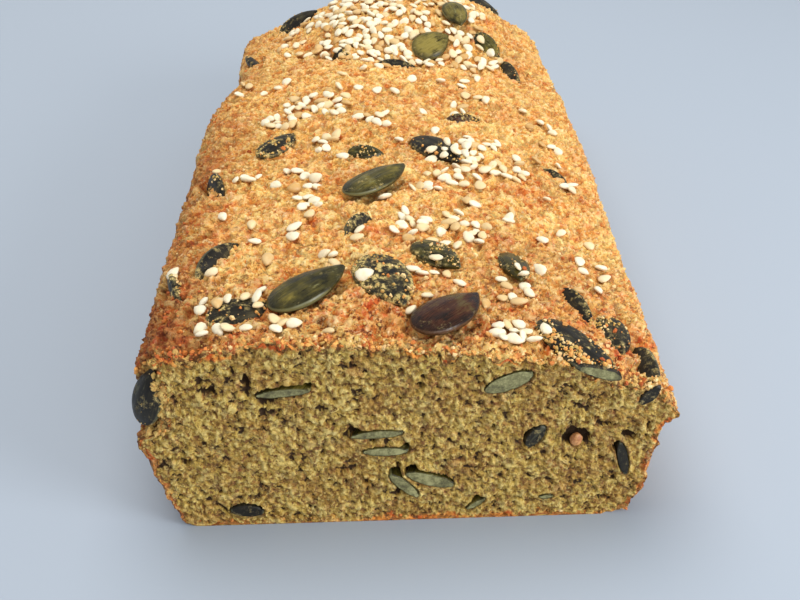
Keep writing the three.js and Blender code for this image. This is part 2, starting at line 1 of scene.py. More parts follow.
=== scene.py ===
"""Looks of the lentil and teff bread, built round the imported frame.

Lengths inside the classes are millimetres in the loaf's own frame: X runs across the loaf, Y from
the cut face to the far end and Z up from the base. WorkFrame turns them into metres in the row
frame. The loaf's form repeats the named sizes of the part's source.
"""

import logging
import math
from collections.abc import Iterable, Sequence
from dataclasses import dataclass, field
from enum import Enum

import bmesh
import bpy
import numpy as np
from mathutils import Euler, Matrix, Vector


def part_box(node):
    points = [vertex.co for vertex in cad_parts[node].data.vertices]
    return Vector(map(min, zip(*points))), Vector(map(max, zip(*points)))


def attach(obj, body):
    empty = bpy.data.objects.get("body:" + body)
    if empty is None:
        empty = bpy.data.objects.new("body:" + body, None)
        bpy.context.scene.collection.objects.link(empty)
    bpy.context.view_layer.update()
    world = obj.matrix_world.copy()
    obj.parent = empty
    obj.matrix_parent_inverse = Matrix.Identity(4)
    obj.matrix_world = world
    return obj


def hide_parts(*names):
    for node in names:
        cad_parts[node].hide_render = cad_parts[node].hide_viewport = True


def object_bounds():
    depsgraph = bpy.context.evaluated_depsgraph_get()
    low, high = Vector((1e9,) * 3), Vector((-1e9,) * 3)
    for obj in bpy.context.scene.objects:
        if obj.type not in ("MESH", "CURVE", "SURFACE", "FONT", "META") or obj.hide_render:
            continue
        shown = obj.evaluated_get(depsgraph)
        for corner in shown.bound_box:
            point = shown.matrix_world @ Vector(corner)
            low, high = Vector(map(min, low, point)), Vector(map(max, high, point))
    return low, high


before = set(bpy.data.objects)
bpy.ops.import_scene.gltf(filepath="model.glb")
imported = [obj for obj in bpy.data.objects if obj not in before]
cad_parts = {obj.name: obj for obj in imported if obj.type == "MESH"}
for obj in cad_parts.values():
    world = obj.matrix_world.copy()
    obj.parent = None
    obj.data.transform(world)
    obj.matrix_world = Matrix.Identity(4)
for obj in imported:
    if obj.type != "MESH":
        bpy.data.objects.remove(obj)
CAD_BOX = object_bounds()

LOG = logging.getLogger("bread")
MM = 0.001
FULL_TURN = 2 * math.pi
BODY = "root"
LOAF_NODE = "loaf"
RELIEF_FADE = 12.0
DEEPEST_COVER = 2.4
COARSER = 1.0
TOPPINGS_SEED = 4127
UNDERSIDE = {"lift": 0.45, "toast": 0.8, "fresh": 0.0}
UNDERSIDE_REST = 0.5
UNSEEN = 0.3

Array = np.ndarray
Pair = tuple[float, float]
Triple = tuple[float, float, float]
Rgb = Triple
Piece = bpy.types.Object
Material = bpy.types.Material
Tree = bpy.types.NodeTree
Node = bpy.types.Node
Socket = bpy.types.NodeSocket
Value = float | int | Sequence[float] | Socket


# Small helpers


def rgb(red: int, green: int, blue: int) -> Rgb:
    """Turns a screen colour of 0 to 255 into linear light."""
    shares = (red / 255, green / 255, blue / 255)
    return tuple(s / 12.92 if s <= 0.04045 else ((s + 0.055) / 1.055) ** 2.4 for s in shares)


def smooth(low: float, high: float, value: Array | float) -> Array:
    """Smooth step of a value from 0 at low to 1 at high."""
    share = np.clip((np.asarray(value, float) - low) / (high - low), 0.0, 1.0)
    return share * share * (3 - 2 * share)


def bell(middle: float, reach: float, value: Array | float) -> Array:
    """A bump of height 1 round the middle, as wide as reach."""
    return np.exp(-(((np.asarray(value, float) - middle) / reach) ** 2))


def unit(vectors: Array) -> Array:
    """Vectors brought to length 1 along the last axis."""
    return vectors / np.maximum(np.linalg.norm(vectors, axis=-1, keepdims=True), 1e-12)


def turn_about(axis: int, degrees: float) -> Array:
    """Rotation matrix about X, Y or Z, which are axis 0, 1 or 2."""
    return np.array(Matrix.Rotation(math.radians(degrees), 3, "XYZ"[axis]))


def round_steps(sides: int) -> Array:
    """Angles once round, evenly spaced."""
    return np.linspace(0, FULL_TURN, sides, endpoint=False)


# Noise over a lattice, the same as in the part's source


def lattice_value(i: Array, j: Array, k: Array) -> Array:
    """A fixed draw from 0 to 1 for each lattice place."""
    value = np.sin(i * 127.1 + j * 311.7 + k * 74.7) * 43758.5453
    return value - np.floor(value)


def soft_noise(points: Array, size: float) -> Array:
    """Smooth noise from 0 to 1.

    Args:
        points: places, shape (..., 3).
        size: edge of the lattice's cells.

    Returns:
        One value for each place.
    """
    scaled = points / size
    base = np.floor(scaled)
    share = scaled - base
    share = share * share * (3 - 2 * share)
    total = np.zeros(points.shape[:-1])
    for corner in range(8):
        step = np.array([corner & 1, (corner >> 1) & 1, corner >> 2])
        weights = np.where(step == 1, share, 1 - share)
        place = base + step
        total += weights.prod(-1) * lattice_value(place[..., 0], place[..., 1], place[..., 2])
    return total


@dataclass(frozen=True)
class Grains:
    """Cellular noise: the grain that each place lies in, and what that grain drew.

    near is the distance to the grain's middle and gap the lead over the next one, facet the height
    of a plane tilted at random through the middle, all in cell sizes. tone and second are two
    draws from 0 to 1 for each grain.
    """

    near: Array
    gap: Array
    facet: Array
    tone: Array
    second: Array

    def crumb(self, step: float, tilt: float, crease: float) -> Array:
        """Height of broken crumb: each grain a tilted facet at its own level.

        Args:
            step: spread of the levels.
            tilt: how far the facets lean.
            crease: depth of the joints between grains.

        Returns:
            The heights.
        """
        joint = smooth(0.0, 0.16, self.gap)
        return (step * (self.second - 0.5) + tilt * self.facet) * joint - crease * (1 - joint)


def grain_noise(points: Array, size: float, salt: float = 0.0, warp: float = 0.0) -> Grains:
    """Splits space into grains round scattered middles.

    Args:
        points: places, shape (n, 3).
        size: mean width of a grain.
        salt: shifts the draws, so that two layers differ.
        warp: how far the grains' outlines are frayed, in cell sizes.

    Returns:
        The grains' fields at the places.
    """
    scaled = points / size
    if warp:
        frays = [soft_noise(points + 13.7 * k + salt, size * 0.45) for k in (1, 2, 3)]
        scaled = scaled + (np.stack(frays, -1) - 0.5) * 2 * warp
    count = len(scaled)
    first, second = np.full(count, 9.0), np.full(count, 9.0)
    facet, tone, other = np.zeros(count), np.zeros(count), np.zeros(count)
    base = np.floor(scaled)
    share = scaled - base
    for step in np.ndindex(3, 3, 3):
        offset = np.array(step, float) - 1
        i, j, k = (base + offset).T
        i = i + salt
        shifted = ((i + 17.3, j, k), (i, j + 31.9, k), (i, j, k + 53.1))
        draw = [lattice_value(*place) for place in shifted]
        gone = [offset[a] + draw[a] - share[:, a] for a in range(3)]
        away = np.sqrt(sum(part ** 2 for part in gone))
        closer = away < first
        second = np.where(closer, first, np.minimum(second, away))
        first = np.where(closer, away, first)
        lean = [draw[a] * 9.7 % 1.0 - 0.5 for a in range(3)]
        facet = np.where(closer, 2 * sum(part * slope for part, slope in zip(gone, lean)), facet)
        tone = np.where(closer, draw[0] * 7.31 % 1.0, tone)
        other = np.where(closer, draw[1] * 5.77 % 1.0, other)
    return Grains(first, second - first, facet, tone, other)


def layered_noise(points: Array, size: float, layers: int) -> Array:
    """Noise with ever finer layers, about 0 and within 1.

    Args:
        points: places, shape (..., 3).
        size: width of the broadest layer's patches.
        layers: how many layers.

    Returns:
        One value for each place.
    """
    total = np.zeros(points.shape[:-1])
    for layer in range(layers):
        total += (soft_noise(points + 31.0 * layer, size / 2 ** layer) - 0.5) * 0.62 ** layer
    return total


# Meshes


def make_piece(name: str, vertices: Array, faces: Sequence[Array], values: dict[str, Array] | None = None,
               flat_from: int | None = None) -> Piece:
    """Makes a mesh object at the origin from arrays.

    Args:
        name: the piece's name.
        vertices: rows of metres in the row frame.
        faces: arrays of vertex numbers, three or four a row.
        values: vertex attributes, one number or three for each vertex.
        flat_from: faces of this array and later ones are shaded flat.

    Returns:
        The linked object.
    """
    mesh = bpy.data.meshes.new(name)
    mesh.from_pydata(vertices, [], [corners for part in faces for corners in part.tolist()])
    rounded = np.ones(len(mesh.polygons), bool)
    if flat_from is not None:
        rounded[sum(map(len, faces[:flat_from])):] = False
    mesh.polygons.foreach_set("use_smooth", rounded)
    for key, data in (values or {}).items():
        kind, slot = ("FLOAT_VECTOR", "vector") if np.ndim(data) == 2 else ("FLOAT", "value")
        layer = mesh.attributes.new(key, kind, "POINT")
        layer.data.foreach_set(slot, np.ascontiguousarray(data, np.float32).ravel())
    mesh.validate()
    return link_object(name, mesh)


def link_object(name: str, data: bpy.types.ID) -> Piece:
    """Puts a mesh, light or camera into the scene as an object."""
    made = bpy.data.objects.new(name, data)
    bpy.context.scene.collection.objects.link(made)
    return made


def finish_piece(piece: Piece, material: Material, slot: str, *nodes: str) -> None:
    """Dresses a piece and declares what it rides on and replaces.

    Args:
        piece: the finished object.
        material: its material.
        slot: not used.
        nodes: CAD nodes that it stands for.
    """
    if not piece.data.materials:
        piece.data.materials.append(material)
    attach(piece, BODY)
    if nodes:
        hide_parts(*nodes)
    LOG.info("%s: %d triangles", piece.name, sum(len(p.vertices) - 2 for p in piece.data.polygons))


def grid_faces(rows: int, columns: int, wrap: bool, flip: bool = False) -> Array:
    """Quads over a grid of vertices.

    Args:
        rows: vertex rows.
        columns: vertices a row.
        wrap: whether each row closes on itself.
        flip: turns the faces over.

    Returns:
        Rows of four vertex numbers.
    """
    near = np.arange(rows * columns).reshape(rows, columns)
    beside = np.roll(near, -1, 1)
    quads = np.stack([near[:-1], beside[:-1], beside[1:], near[1:]], -1)
    quads = quads[:, :columns if wrap else columns - 1]
    return quads.reshape(-1, 4)[:, ::-1 if flip else 1]


def band(inner: Array, outer: Array, flip: bool = False) -> Array:
    """Quads between two closed rings of vertex numbers, turned over by flip."""
    quads = np.stack([inner, outer, np.roll(outer, -1), np.roll(inner, -1)], -1)
    return quads[:, ::-1 if flip else 1]


def fan(hub: int, ring: Array, flip: bool = False) -> Array:
    """Triangles from one vertex to a closed ring, turned over by flip."""
    return np.stack([np.full(len(ring), hub), ring, np.roll(ring, -1)], -1)[:, ::-1 if flip else 1]


def dome(shares: Array, x: Array, y: Array, heights: Array) -> Array:
    """Rings of points: an outline drawn in by each share, at each height."""
    return np.stack([np.outer(shares, x), np.outer(shares, y), np.repeat(heights[:, None], len(x), 1)], -1)


def closed_shell(upper: Array, lower: Array, rim: Array, top: float,
                 bottom: float) -> tuple[Array, Array, Array]:
    """Closes a form whose two halves share a rim.

    Args:
        upper: the upper rings from the middle outwards, shape (rings, sides, 3).
        lower: as many lower rings.
        rim: the ring that both end in.
        top: height of the upper middle.
        bottom: height of the lower middle.

    Returns:
        Vertices, quads and triangles.
    """
    rings, sides = upper.shape[:2]
    order = 2 + np.arange((2 * rings + 1) * sides).reshape(-1, sides)
    above, below = (*order[:rings], order[-1]), order[rings:]
    quads = [band(*pair) for pair in zip(above, above[1:])]
    quads += [band(*pair, flip=True) for pair in zip(below, below[1:])]
    vertices = np.vstack([[[0, 0, top], [0, 0, bottom]], upper.reshape(-1, 3), lower.reshape(-1, 3), rim])
    return vertices, np.vstack(quads), np.vstack([fan(0, above[0]), fan(1, below[0], flip=True)])


# The loaf's form


NEAR_SECTION = (
    (-47.5, 0, 5), (-54, 24, 30), (-51.5, 42.3, 9.5), (-8, 45.1, 70), (27, 39.3, 70),
    (47.7, 31.6, 4), (50.8, 25, 1.4), (47.6, 23, 1.2), (44.6, 0, 8),
)
FAR_SECTION = (
    (-42.5, 0, 6), (-47.3, 24, 30), (-47.2, 35.6, 6), (-12, 51.2, 30), (25, 51.8, 26),
    (48.2, 36, 6), (50.6, 27, 4), (49, 23, 4), (44.5, 0, 8),
)
WALL_LEFT, SHOULDER_LEFT, CROWN_LEFT, CROWN_RIGHT, SHOULDER_RIGHT, LIP = 1, 2, 3, 4, 5, 6


class Outline:
    """The open outline over the crust at one place along the loaf."""

    def __init__(self, corners: Array) -> None:
        """Rounds the corners.

        Args:
            corners: rows of x, z and the radius of each corner.
        """
        before = corners[0, :2] + (20, 0)
        after = corners[-1, :2] - (20, 0)
        chain = np.vstack([before, corners[:, :2], after])
        rows = []
        start = None
        for index, (_, _, wanted) in enumerate(corners):
            a, b, c = chain[index:index + 3]
            room = 0.48 * min(np.linalg.norm(a - b), np.linalg.norm(c - b))
            to_a, to_c = unit(a - b), unit(c - b)
            half = math.acos(max(-1.0, min(1.0, float(to_a @ to_c)))) / 2
            tangent = min(wanted / math.tan(half), room)
            radius = tangent * math.tan(half)
            enter, leave = b + to_a * tangent, b + to_c * tangent
            middle = b + unit(to_a + to_c) * (radius / math.sin(half))
            angle = math.atan2(*(enter - middle)[::-1])
            end_angle = math.atan2(*(leave - middle)[::-1])
            sweep = (end_angle - angle + math.pi) % FULL_TURN - math.pi
            if start is not None:
                rows.append((0, *start, *(enter - start), 0, np.linalg.norm(enter - start)))
            rows.append((1, *middle, radius, angle, sweep, abs(sweep) * radius))
            start = leave
        self.parts = np.array(rows, float)
        self.ends = np.cumsum(self.parts[:, 6])
        self.length = float(self.ends[-1])

    def at(self, u: Array) -> Array:
        """Points of the outline.

        Args:
            u: shares of its length, 0 at the base's left edge.

        Returns:
            Rows of x and z.
        """
        along = np.clip(u, 0.0, 1.0) * self.length
        part = np.minimum(np.searchsorted(self.ends, along), len(self.ends) - 1)
        kind, a, b, c, d, sweep, size = self.parts[part].T
        share = 1 - (self.ends[part] - along) / size
        angle = d + sweep * share
        line = np.stack([a + c * share, b + d * share], -1)
        arc = np.stack([a + c * np.cos(angle), b + c * np.sin(angle)], -1)
        return np.where(kind[:, None] == 1, arc, line)


@dataclass
class LoafForm:
    """The smooth form of the loaf, from its named sizes."""

    length: float = 197.0
    end_rounding: float = 11.0
    end_lean: float = 3.5
    half_width: float = 50.0
    height: float = 46.0
    hump: Pair = (140.0, 168.0)
    notch: Pair = (108.0, 134.0)
    drift_to: float = 120.0
    saddle: float = 2.6
    saddle_at: Pair = (145.0, 8.0)
    waist: float = 3.0
    waist_at: Pair = (140.0, 13.0)
    end_fall: float = 7.0
    end_fall_from: float = 176.0
    end_dome: float = 1.2
    outlines: dict[float, Outline] = field(default_factory=dict)

    def corners(self, y: float) -> Array:
        """Corners of the section at one place along the loaf.

        Args:
            y: the way along it.

        Returns:
            Rows of x, z and radius.
        """
        hump = float(smooth(*self.hump, y))
        notch = float(smooth(*self.notch, y))
        drift = float(smooth(0, self.drift_to, y)) * (1 - hump)
        saddle = self.saddle * float(bell(*self.saddle_at, y))
        fall = self.end_fall * float(smooth(self.end_fall_from, self.length + 6, y))
        near, far = np.array(NEAR_SECTION, float), np.array(FAR_SECTION, float)
        side = np.where(np.arange(len(near)) <= SHOULDER_LEFT, notch, hump)[:, None]
        rows = near + (far - near) * side
        rows[:, 1] = near[:, 1] + (far[:, 1] - near[:, 1]) * hump
        rows[:SHOULDER_LEFT + 1, 0] += self.waist * float(bell(*self.waist_at, y))
        rows[WALL_LEFT:SHOULDER_LEFT + 1, 0] += 0.8 * float(smooth(0, self.drift_to, y)) * (1 - notch)
        rows[SHOULDER_RIGHT:LIP + 2, 0] += 2 * drift
        rows[SHOULDER_RIGHT, 1] += 2.5 * drift
        rows[LIP:LIP + 2, 1] += drift
        rows[CROWN_LEFT, 1] += 1.5 * drift - fall - saddle
        rows[CROWN_RIGHT, 1] += 1.5 * drift - fall - 0.6 * saddle
        rows[[SHOULDER_LEFT, SHOULDER_RIGHT], 1] -= 0.6 * fall
        return rows

    def outline(self, y: float) -> Outline:
        """The rounded outline at y, kept once made."""
        if y not in self.outlines:
            self.outlines[y] = Outline(self.corners(y))
        return self.outlines[y]

    def points(self, u: Array, y: float) -> Array:
        """Places on the smooth crust.

        Args:
            u: ways round the crust, 0 to 1.
            y: the way along the loaf.

        Returns:
            Rows of x, y and z.
        """
        flat = self.outline(y).at(np.atleast_1d(u))
        past = max(0.0, y - (self.length - self.end_rounding))
        inset = self.end_rounding - math.sqrt(max(0.0, self.end_rounding ** 2 - past ** 2))
        x = flat[:, 0] * (1 - inset / self.half_width)
        z = np.maximum(0, flat[:, 1] * (1 - inset / self.height))
        lean = self.end_lean * (1 - np.minimum(1, z / self.height))
        lean *= float(smooth(self.length / 2, self.length, y))
        return np.stack([x, y - lean, z], -1)

    def directions(self, u: Array, y: float) -> tuple[Array, Array, Array]:
        """Directions on the crust: across it, along it and out of it.

        Args:
            u: ways round the crust.
            y: the way along the loaf.

        Returns:
            Three arrays of unit vectors.
        """
        u = np.atleast_1d(u)
        across = unit(self.points(u + 0.004, y) - self.points(u - 0.004, y))
        along = self.points(u, min(y + 1, self.length)) - self.points(u, max(0.0, y - 1))
        out = unit(np.cross(across, along))
        return across, np.cross(out, across), out


# Pumpkin seeds


class Skin(Enum):
    """Finish of a pumpkin seed; the value is the name of its skin's material, where one is made."""

    OLIVE = "seed_olive"
    DARK = "seed_dark"
    BROWN = "seed_brown"
    CUT = "seed_cut"


@dataclass(frozen=True)
class SeedSpec:
    """One pumpkin seed: its node, skin, size, place and how much crumb clings to it."""

    name: str
    skin: Skin
    size: Triple
    u: float
    y: float
    heading: float
    lift: float
    roll: float = 0.0
    pitch: float = 0.0
    dust: float = 0.25
    bright: float = 0.0
    open: bool = False
    pale: bool = True


@dataclass(frozen=True)
class CutSeedSpec:
    """One pumpkin seed that the knife went through, placed on the cut face.

    Each void is a gap beside the section: where along it, how wide, below it where negative, and
    how far it reaches. The kernel of a seed that isn't pale shows as dark as its skin.
    """

    name: str
    x: float
    z: float
    slope: float
    swing: float
    depth: float
    size: Triple
    voids: tuple[Triple, ...] = ()
    pale: bool = True


CRUST_SEEDS = (
    SeedSpec("green_by_cut", Skin.OLIVE, (18.1, 9.7, 3.6), 0.409, 17.4, 38, 1.0, -5, 4, dust=0.04),
    SeedSpec("middle", Skin.OLIVE, (18.6, 8.9, 3.4), 0.479, 60.3, 43, 1.1, -9, 4, dust=0.04),
    SeedSpec("brown_by_cut", Skin.BROWN, (18.2, 9.7, 3.6), 0.554, 10.4, 46, 0.9, -8, 3, dust=0.03),
    SeedSpec("far_olive", Skin.OLIVE, (12.8, 9, 3.2), 0.56, 150.7, 36, 0.5, 3, dust=0.12, bright=1.0),
    SeedSpec("dusted", Skin.DARK, (18.4, 11, 3.4), 0.49, 20.9, -68, -0.2, 4, dust=0.6),
    SeedSpec("left_dusted", Skin.DARK, (13.6, 7.2, 3), 0.348, 83.5, 52, -0.1, dust=0.5),
    SeedSpec("left_edge", Skin.DARK, (17.4, 9, 3), 0.306, 33, 62, -2.4, 68, dust=0.35),
    SeedSpec("left_sunk", Skin.DARK, (13, 8, 3), 0.338, 12.7, 22, -0.7, 12, dust=0.45),
    SeedSpec("right_flat", Skin.OLIVE, (13, 7.4, 3), 0.549, 32.2, -46, -0.2, 7, 6, dust=0.3),
    SeedSpec("right_tipped", Skin.OLIVE, (13.7, 6.8, 3), 0.6385, 31.8, -88, -0.4, -3, 10, dust=0.25),
    SeedSpec("right_cut", Skin.DARK, (21, 10.8, 3.2), 0.694, 5.4, -47, -0.6, dust=0.3),
    SeedSpec("under_sesame", Skin.DARK, (16.2, 9.6, 3.2), 0.56, 81, -52, 0.2, 3, 5, dust=0.25),
    SeedSpec("far_right_edge", Skin.DARK, (15.4, 6.6, 3), 0.6895, 143.4, -69, -0.7, 62),
    SeedSpec("far_right_small", Skin.OLIVE, (11, 6.4, 2.6), 0.657, 153.5, -38, -0.5, 10),
    SeedSpec("far_crown", Skin.OLIVE, (11.8, 7.6, 3), 0.599, 161.8, -74, 0.5, 0, 6, dust=0.1, bright=0.5),
    SeedSpec("far_left_edge", Skin.DARK, (15.2, 6.8, 3), 0.322, 178, 26, -1, 46, 4),
    SeedSpec("saddle_sliver", Skin.DARK, (15, 8, 2.8), 0.506, 139.6, 6, -2.8, 66),
    SeedSpec("far_left_side", Skin.DARK, (13, 7, 2.8), 0.262, 149, -80, -1.4, -58),
    SeedSpec("mid_sliver", Skin.DARK, (13, 7.4, 2.8), 0.463, 43, 61, -2, 64, dust=0.4),
    SeedSpec("right_sliver", Skin.DARK, (13.5, 6.6, 2.6), 0.706, 21.4, -66, -1.9, 66, dust=0.35),
    SeedSpec("right_ragged", Skin.DARK, (12.4, 7, 2.8), 0.743, 14.8, -84, -0.7, 12, dust=0.4),
    SeedSpec("right_edge_cut", Skin.DARK, (17.4, 8, 3), 0.771, 5.2, -88, -2.4, 72, dust=0.3, pale=False),
    SeedSpec("left_wall_cut", Skin.DARK, (13.3, 6.6, 3.4), 0.1953, 2.6, 3, -2.9, 53, -10, dust=0.2,
             open=True),
    SeedSpec("mid_chip", Skin.OLIVE, (9, 5, 2.6), 0.466, 77.5, -4, -1.3, 30, dust=0.2),
    SeedSpec("back_sliver", Skin.BROWN, (13, 7, 2.8), 0.607, 102, 24, -2.2, 62, dust=0.4),
    SeedSpec("right_small", Skin.DARK, (10.5, 6.4, 2.6), 0.725, 79, -32, -2.5, 62),
    SeedSpec("left_shoulder", Skin.DARK, (13, 7.4, 2.8), 0.255, 24.4, -72, -2.2, 66, dust=0.4),
    SeedSpec("left_far_shoulder", Skin.DARK, (13, 7, 2.8), 0.277, 65.5, -71, -1.9, 64, dust=0.3),
    SeedSpec("far_chip", Skin.DARK, (10.5, 6.4, 2.6), 0.41, 144.5, -60, -1.4, 56),
    SeedSpec("left_wall_front", Skin.DARK, (15.5, 8.4, 3), 0.1, 47, 24, -0.8, 6),
    SeedSpec("left_wall_back", Skin.DARK, (15, 8, 3), 0.14, 116, -35, -1.3, 50),
    SeedSpec("right_wall_front", Skin.DARK, (16, 8.6, 3), 0.93, 62, 70, -0.8),
    SeedSpec("right_wall_back", Skin.OLIVE, (14.5, 8, 3), 0.91, 128, 15, -1.3, 50),
    SeedSpec("far_slope", Skin.OLIVE, (16, 8.8, 3.2), 0.5, 181, 12, 0.2, dust=0.15),
    SeedSpec("far_corner", Skin.DARK, (14.5, 8, 3), 0.66, 186, -20, -0.6, 30),
)

CUT_SEEDS = (
    CutSeedSpec("cut_upper_left", -25.0, 33.4, 5, 22, 2, (16, 9.4, 1.9),
                voids=((-3.6, -1.9, 2.0), (5.2, 1.0, 1.3), (0, 0.3, 6))),
    CutSeedSpec("cut_middle_top", -7.7, 22.8, 4, 24, 1.5, (16, 9.2, 1.9),
                voids=((-4.6, 2.0, 1.5), (-1.0, -1.2, 0.7))),
    CutSeedSpec("cut_middle", -6.3, 18.5, 0, 10, 3, (16, 8.8, 2.2), voids=((4.3, 0.9, 0.8), (1, -0.3, 4))),
    CutSeedSpec("cut_low_left", -2.5, 9.4, -47, 0, 3, (15, 8.2, 2.5),
                voids=((-3.9, 1.5, 1.2), (0.8, -1.5, 1.0))),
    CutSeedSpec("cut_low_right", 2.6, 10.9, -20, 14, 1, (16, 9.6, 2.9),
                voids=((-4.6, 1.6, 1.3), (2, 0.3, 3))),
    CutSeedSpec("cut_upper_right", 16.8, 34.7, 24, 12, 1, (16, 9, 3.6), voids=((3.6, -0.5, 1.6),)),
    CutSeedSpec("cut_dark", 22.6, 21.2, 60, 0, 4.5, (13, 6.6, 3.6),
                voids=((0, 0.5, 3), (0, -0.4, 3)), pale=False),
    CutSeedSpec("cut_right_crack", 40.3, 15.0, 104, 0, 3, (14, 8.4, 2.1),
                voids=((3.6, 0.8, 1.2),), pale=False),
    CutSeedSpec("cut_base_left", -33.8, 3.7, -6, 0, 4, (14, 7, 3.2), voids=((0, 0.5, 3),), pale=False),
    CutSeedSpec("cut_base_sliver", 11.8, 3.9, 36, 0, 4.5, (13, 5.4, 1.8), voids=((1, 0.8, 1),)),
    CutSeedSpec("cut_chip", 25.9, 5.4, 2, 0, 4, (11, 3.4, 1.6)),
)


@dataclass
class WorkFrame:
    """Turns millimetres in the loaf's frame into metres in the row frame."""

    shift: Array

    def to_row(self, points: Array) -> Array:
        """Places in metres, in the row frame."""
        return (np.asarray(points, float) + self.shift) * MM

    def inside(self, points: Array) -> Array:
        """Places in metres, in the row frame, none outside the CAD box."""
        return np.clip(self.to_row(points), CAD_BOX[0], CAD_BOX[1])

    def box(self) -> tuple[Array, Array]:
        """The CAD box's corners in the loaf's frame."""
        low, high = (np.array(corner) / MM - self.shift for corner in CAD_BOX)
        return low, high


@dataclass
class PumpkinSeed:
    """A hulled pumpkin seed lying flat about its own origin, pointed towards +X, and its place."""

    name: str
    skin: Skin
    size: Triple
    turn: Array
    origin: Array
    dust: float
    lift: float
    bright: float = 0.0
    open: bool = False
    pale: bool = True
    taper: float = 0.2
    sides: int = 56
    rings: int = 15

    @classmethod
    def on_crust(cls, spec: SeedSpec, form: LoafForm) -> "PumpkinSeed":
        """Places a seed on the crust.

        Args:
            spec: the seed's size and place.
            form: the loaf's form.

        Returns:
            The placed seed.
        """
        across, along, out = (v[0] for v in form.directions(np.array([spec.u]), spec.y))
        basis = np.stack([across, along, out], -1)
        turn = basis @ turn_about(2, spec.heading) @ turn_about(1, -spec.pitch) @ turn_about(0, spec.roll)
        origin = form.points(np.array([spec.u]), spec.y)[0] + out * spec.lift
        return cls(f"pepita_{spec.name}", spec.skin, spec.size, turn, origin, spec.dust, spec.lift,
                   bright=spec.bright, open=spec.open, pale=spec.pale)

    @classmethod
    def on_cut(cls, spec: CutSeedSpec) -> "PumpkinSeed":
        """Places a seed that the knife went through, with its wide axis along the section.

        Args:
            spec: the seed's size and place on the cut face.

        Returns:
            The placed seed.
        """
        angle = math.radians(spec.slope)
        wide = np.array([math.cos(angle), 0, math.sin(angle)])
        long = np.array([0.0, 1.0, 0.0])
        basis = np.stack([long, wide, np.cross(long, wide)], -1)
        sideways = math.tan(math.radians(spec.swing)) * spec.depth
        origin = np.array([spec.x, spec.depth, spec.z]) + wide * sideways
        return cls(f"pepita_{spec.name}", Skin.CUT, spec.size, basis @ turn_about(2, spec.swing), origin,
                   0.1 if spec.pale else 0.2, 0.0, pale=spec.pale)

    def local(self, points: Array) -> Array:
        """Places in the seed's own frame."""
        return (points - self.origin) @ self.turn

    def placed(self, local: Array) -> Array:
        """Places from the seed's own frame in the loaf's frame."""
        return local @ self.turn.T + self.origin

    def on_face(self, x: float, y: float, share: float, side: float) -> Array:
        """A place on the seed's upper or lower face, in the loaf's frame."""
        return self.placed(np.array([x, y, side * float(self.half_thickness(np.array(share)))]))

    def share(self, local: Array, grow: float = 0.0) -> Array:
        """How far out towards the rim each place lies.

        Args:
            local: places in the seed's own frame.
            grow: added to half the seed's length and width.

        Returns:
            The shares, 1 on the outline.
        """
        x = local[..., 0] / (self.size[0] / 2 + grow)
        y = local[..., 1] / ((self.size[1] / 2 + grow) * (1 - self.taper * np.clip(x, -1, 1)))
        return np.sqrt(x * x + y * y)

    def half_thickness(self, share: Array) -> Array:
        """Half of the seed's thickness at a share of the way to its rim."""
        return self.size[2] / 2 * (1 - np.clip(share, 0, 1) ** 2.4) ** 0.55

    def shell(self) -> tuple[Array, Array, Array]:
        """The seed's closed skin in its own frame: a beaded rim, fine grooves and a shallow dent.

        Returns:
            Vertices, quads and triangles.
        """
        angles = round_steps(self.sides)
        shares = np.sin(np.linspace(0, math.pi / 2, self.rings + 1))[1:]
        half = np.array(self.size) / 2
        wave = np.random.default_rng(sum(map(ord, self.name))).normal(0, 1, 4)
        wobble = wave[0] * np.cos(2 * angles + wave[1]) + wave[2] * np.cos(3 * angles + wave[3])
        tip = 1 - 0.64 * bell(0, 0.7, np.angle(np.exp(1j * angles)))
        width = half[1] * np.sin(angles) * (1 - self.taper * np.cos(angles)) * tip * (1 + 0.012 * wobble)
        bead = 0.1 * bell(0.945, 0.035, shares) - 0.08 * bell(0.85, 0.05, shares)
        top = dome(shares, half[0] * np.cos(angles), width, self.half_thickness(shares) + bead)
        long, wide, inward = top[..., 0] / half[0], top[..., 1] / half[1], shares[:, None]
        grooves = 0.045 * np.sin(11 * wide + 1.6 * long + wave[0]) * (1 - inward ** 6)
        dent = 0.13 * np.sin(2.3 * long + wave[1]) * np.cos(1.9 * wide + wave[2]) * (1 - inward ** 2)
        upper, lower = top[:-1].copy(), top[:-1] * (1, 1, -1)
        upper[..., 2] += (grooves + dent)[:-1]
        lower[..., 2] += dent[:-1] * 0.6
        return closed_shell(upper, lower, top[-1] * (1, 1, 0), half[2], -half[2])


def find_work_frame(seeds: Iterable[PumpkinSeed]) -> WorkFrame:
    """Works out the shift between the loaf's frame and the row frame from whole seeds.

    A packed seed has a rim of few sides, more of them on a large one, a shoulder over and under it,
    and two poles.

    Args:
        seeds: the placed crust seeds.

    Returns:
        The frame.
    """
    large, shoulder_share = 16.5, 0.66
    shifts = []
    for seed in seeds:
        half = np.array(seed.size) / 2
        angles = round_steps(10 if seed.size[0] > large else 8)
        width = half[1] * np.sin(angles) * (1 - seed.taper * np.cos(angles))
        rise = (0, 0, half[2] * math.sqrt(1 - shoulder_share ** 2))
        ring, shoulder = dome(np.array([1, shoulder_share]), half[0] * np.cos(angles), width, np.zeros(2))
        poles = [half * (0, 0, 1), half * (0, 0, -1)]
        placed = seed.placed(np.vstack([ring, shoulder + rise, shoulder - rise, poles]))
        if placed[:, 1].min() < 0:
            continue
        low, high = (np.array(corner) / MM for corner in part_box(seed.name))
        shifts.append((low + high) / 2 - (placed.min(0) + placed.max(0)) / 2)
    shift = np.median(shifts, axis=0)
    LOG.info("shift %s mm, spread %.4f mm", shift.round(3), np.abs(shifts - shift).max())
    return WorkFrame(shift)


# Crust and crumb


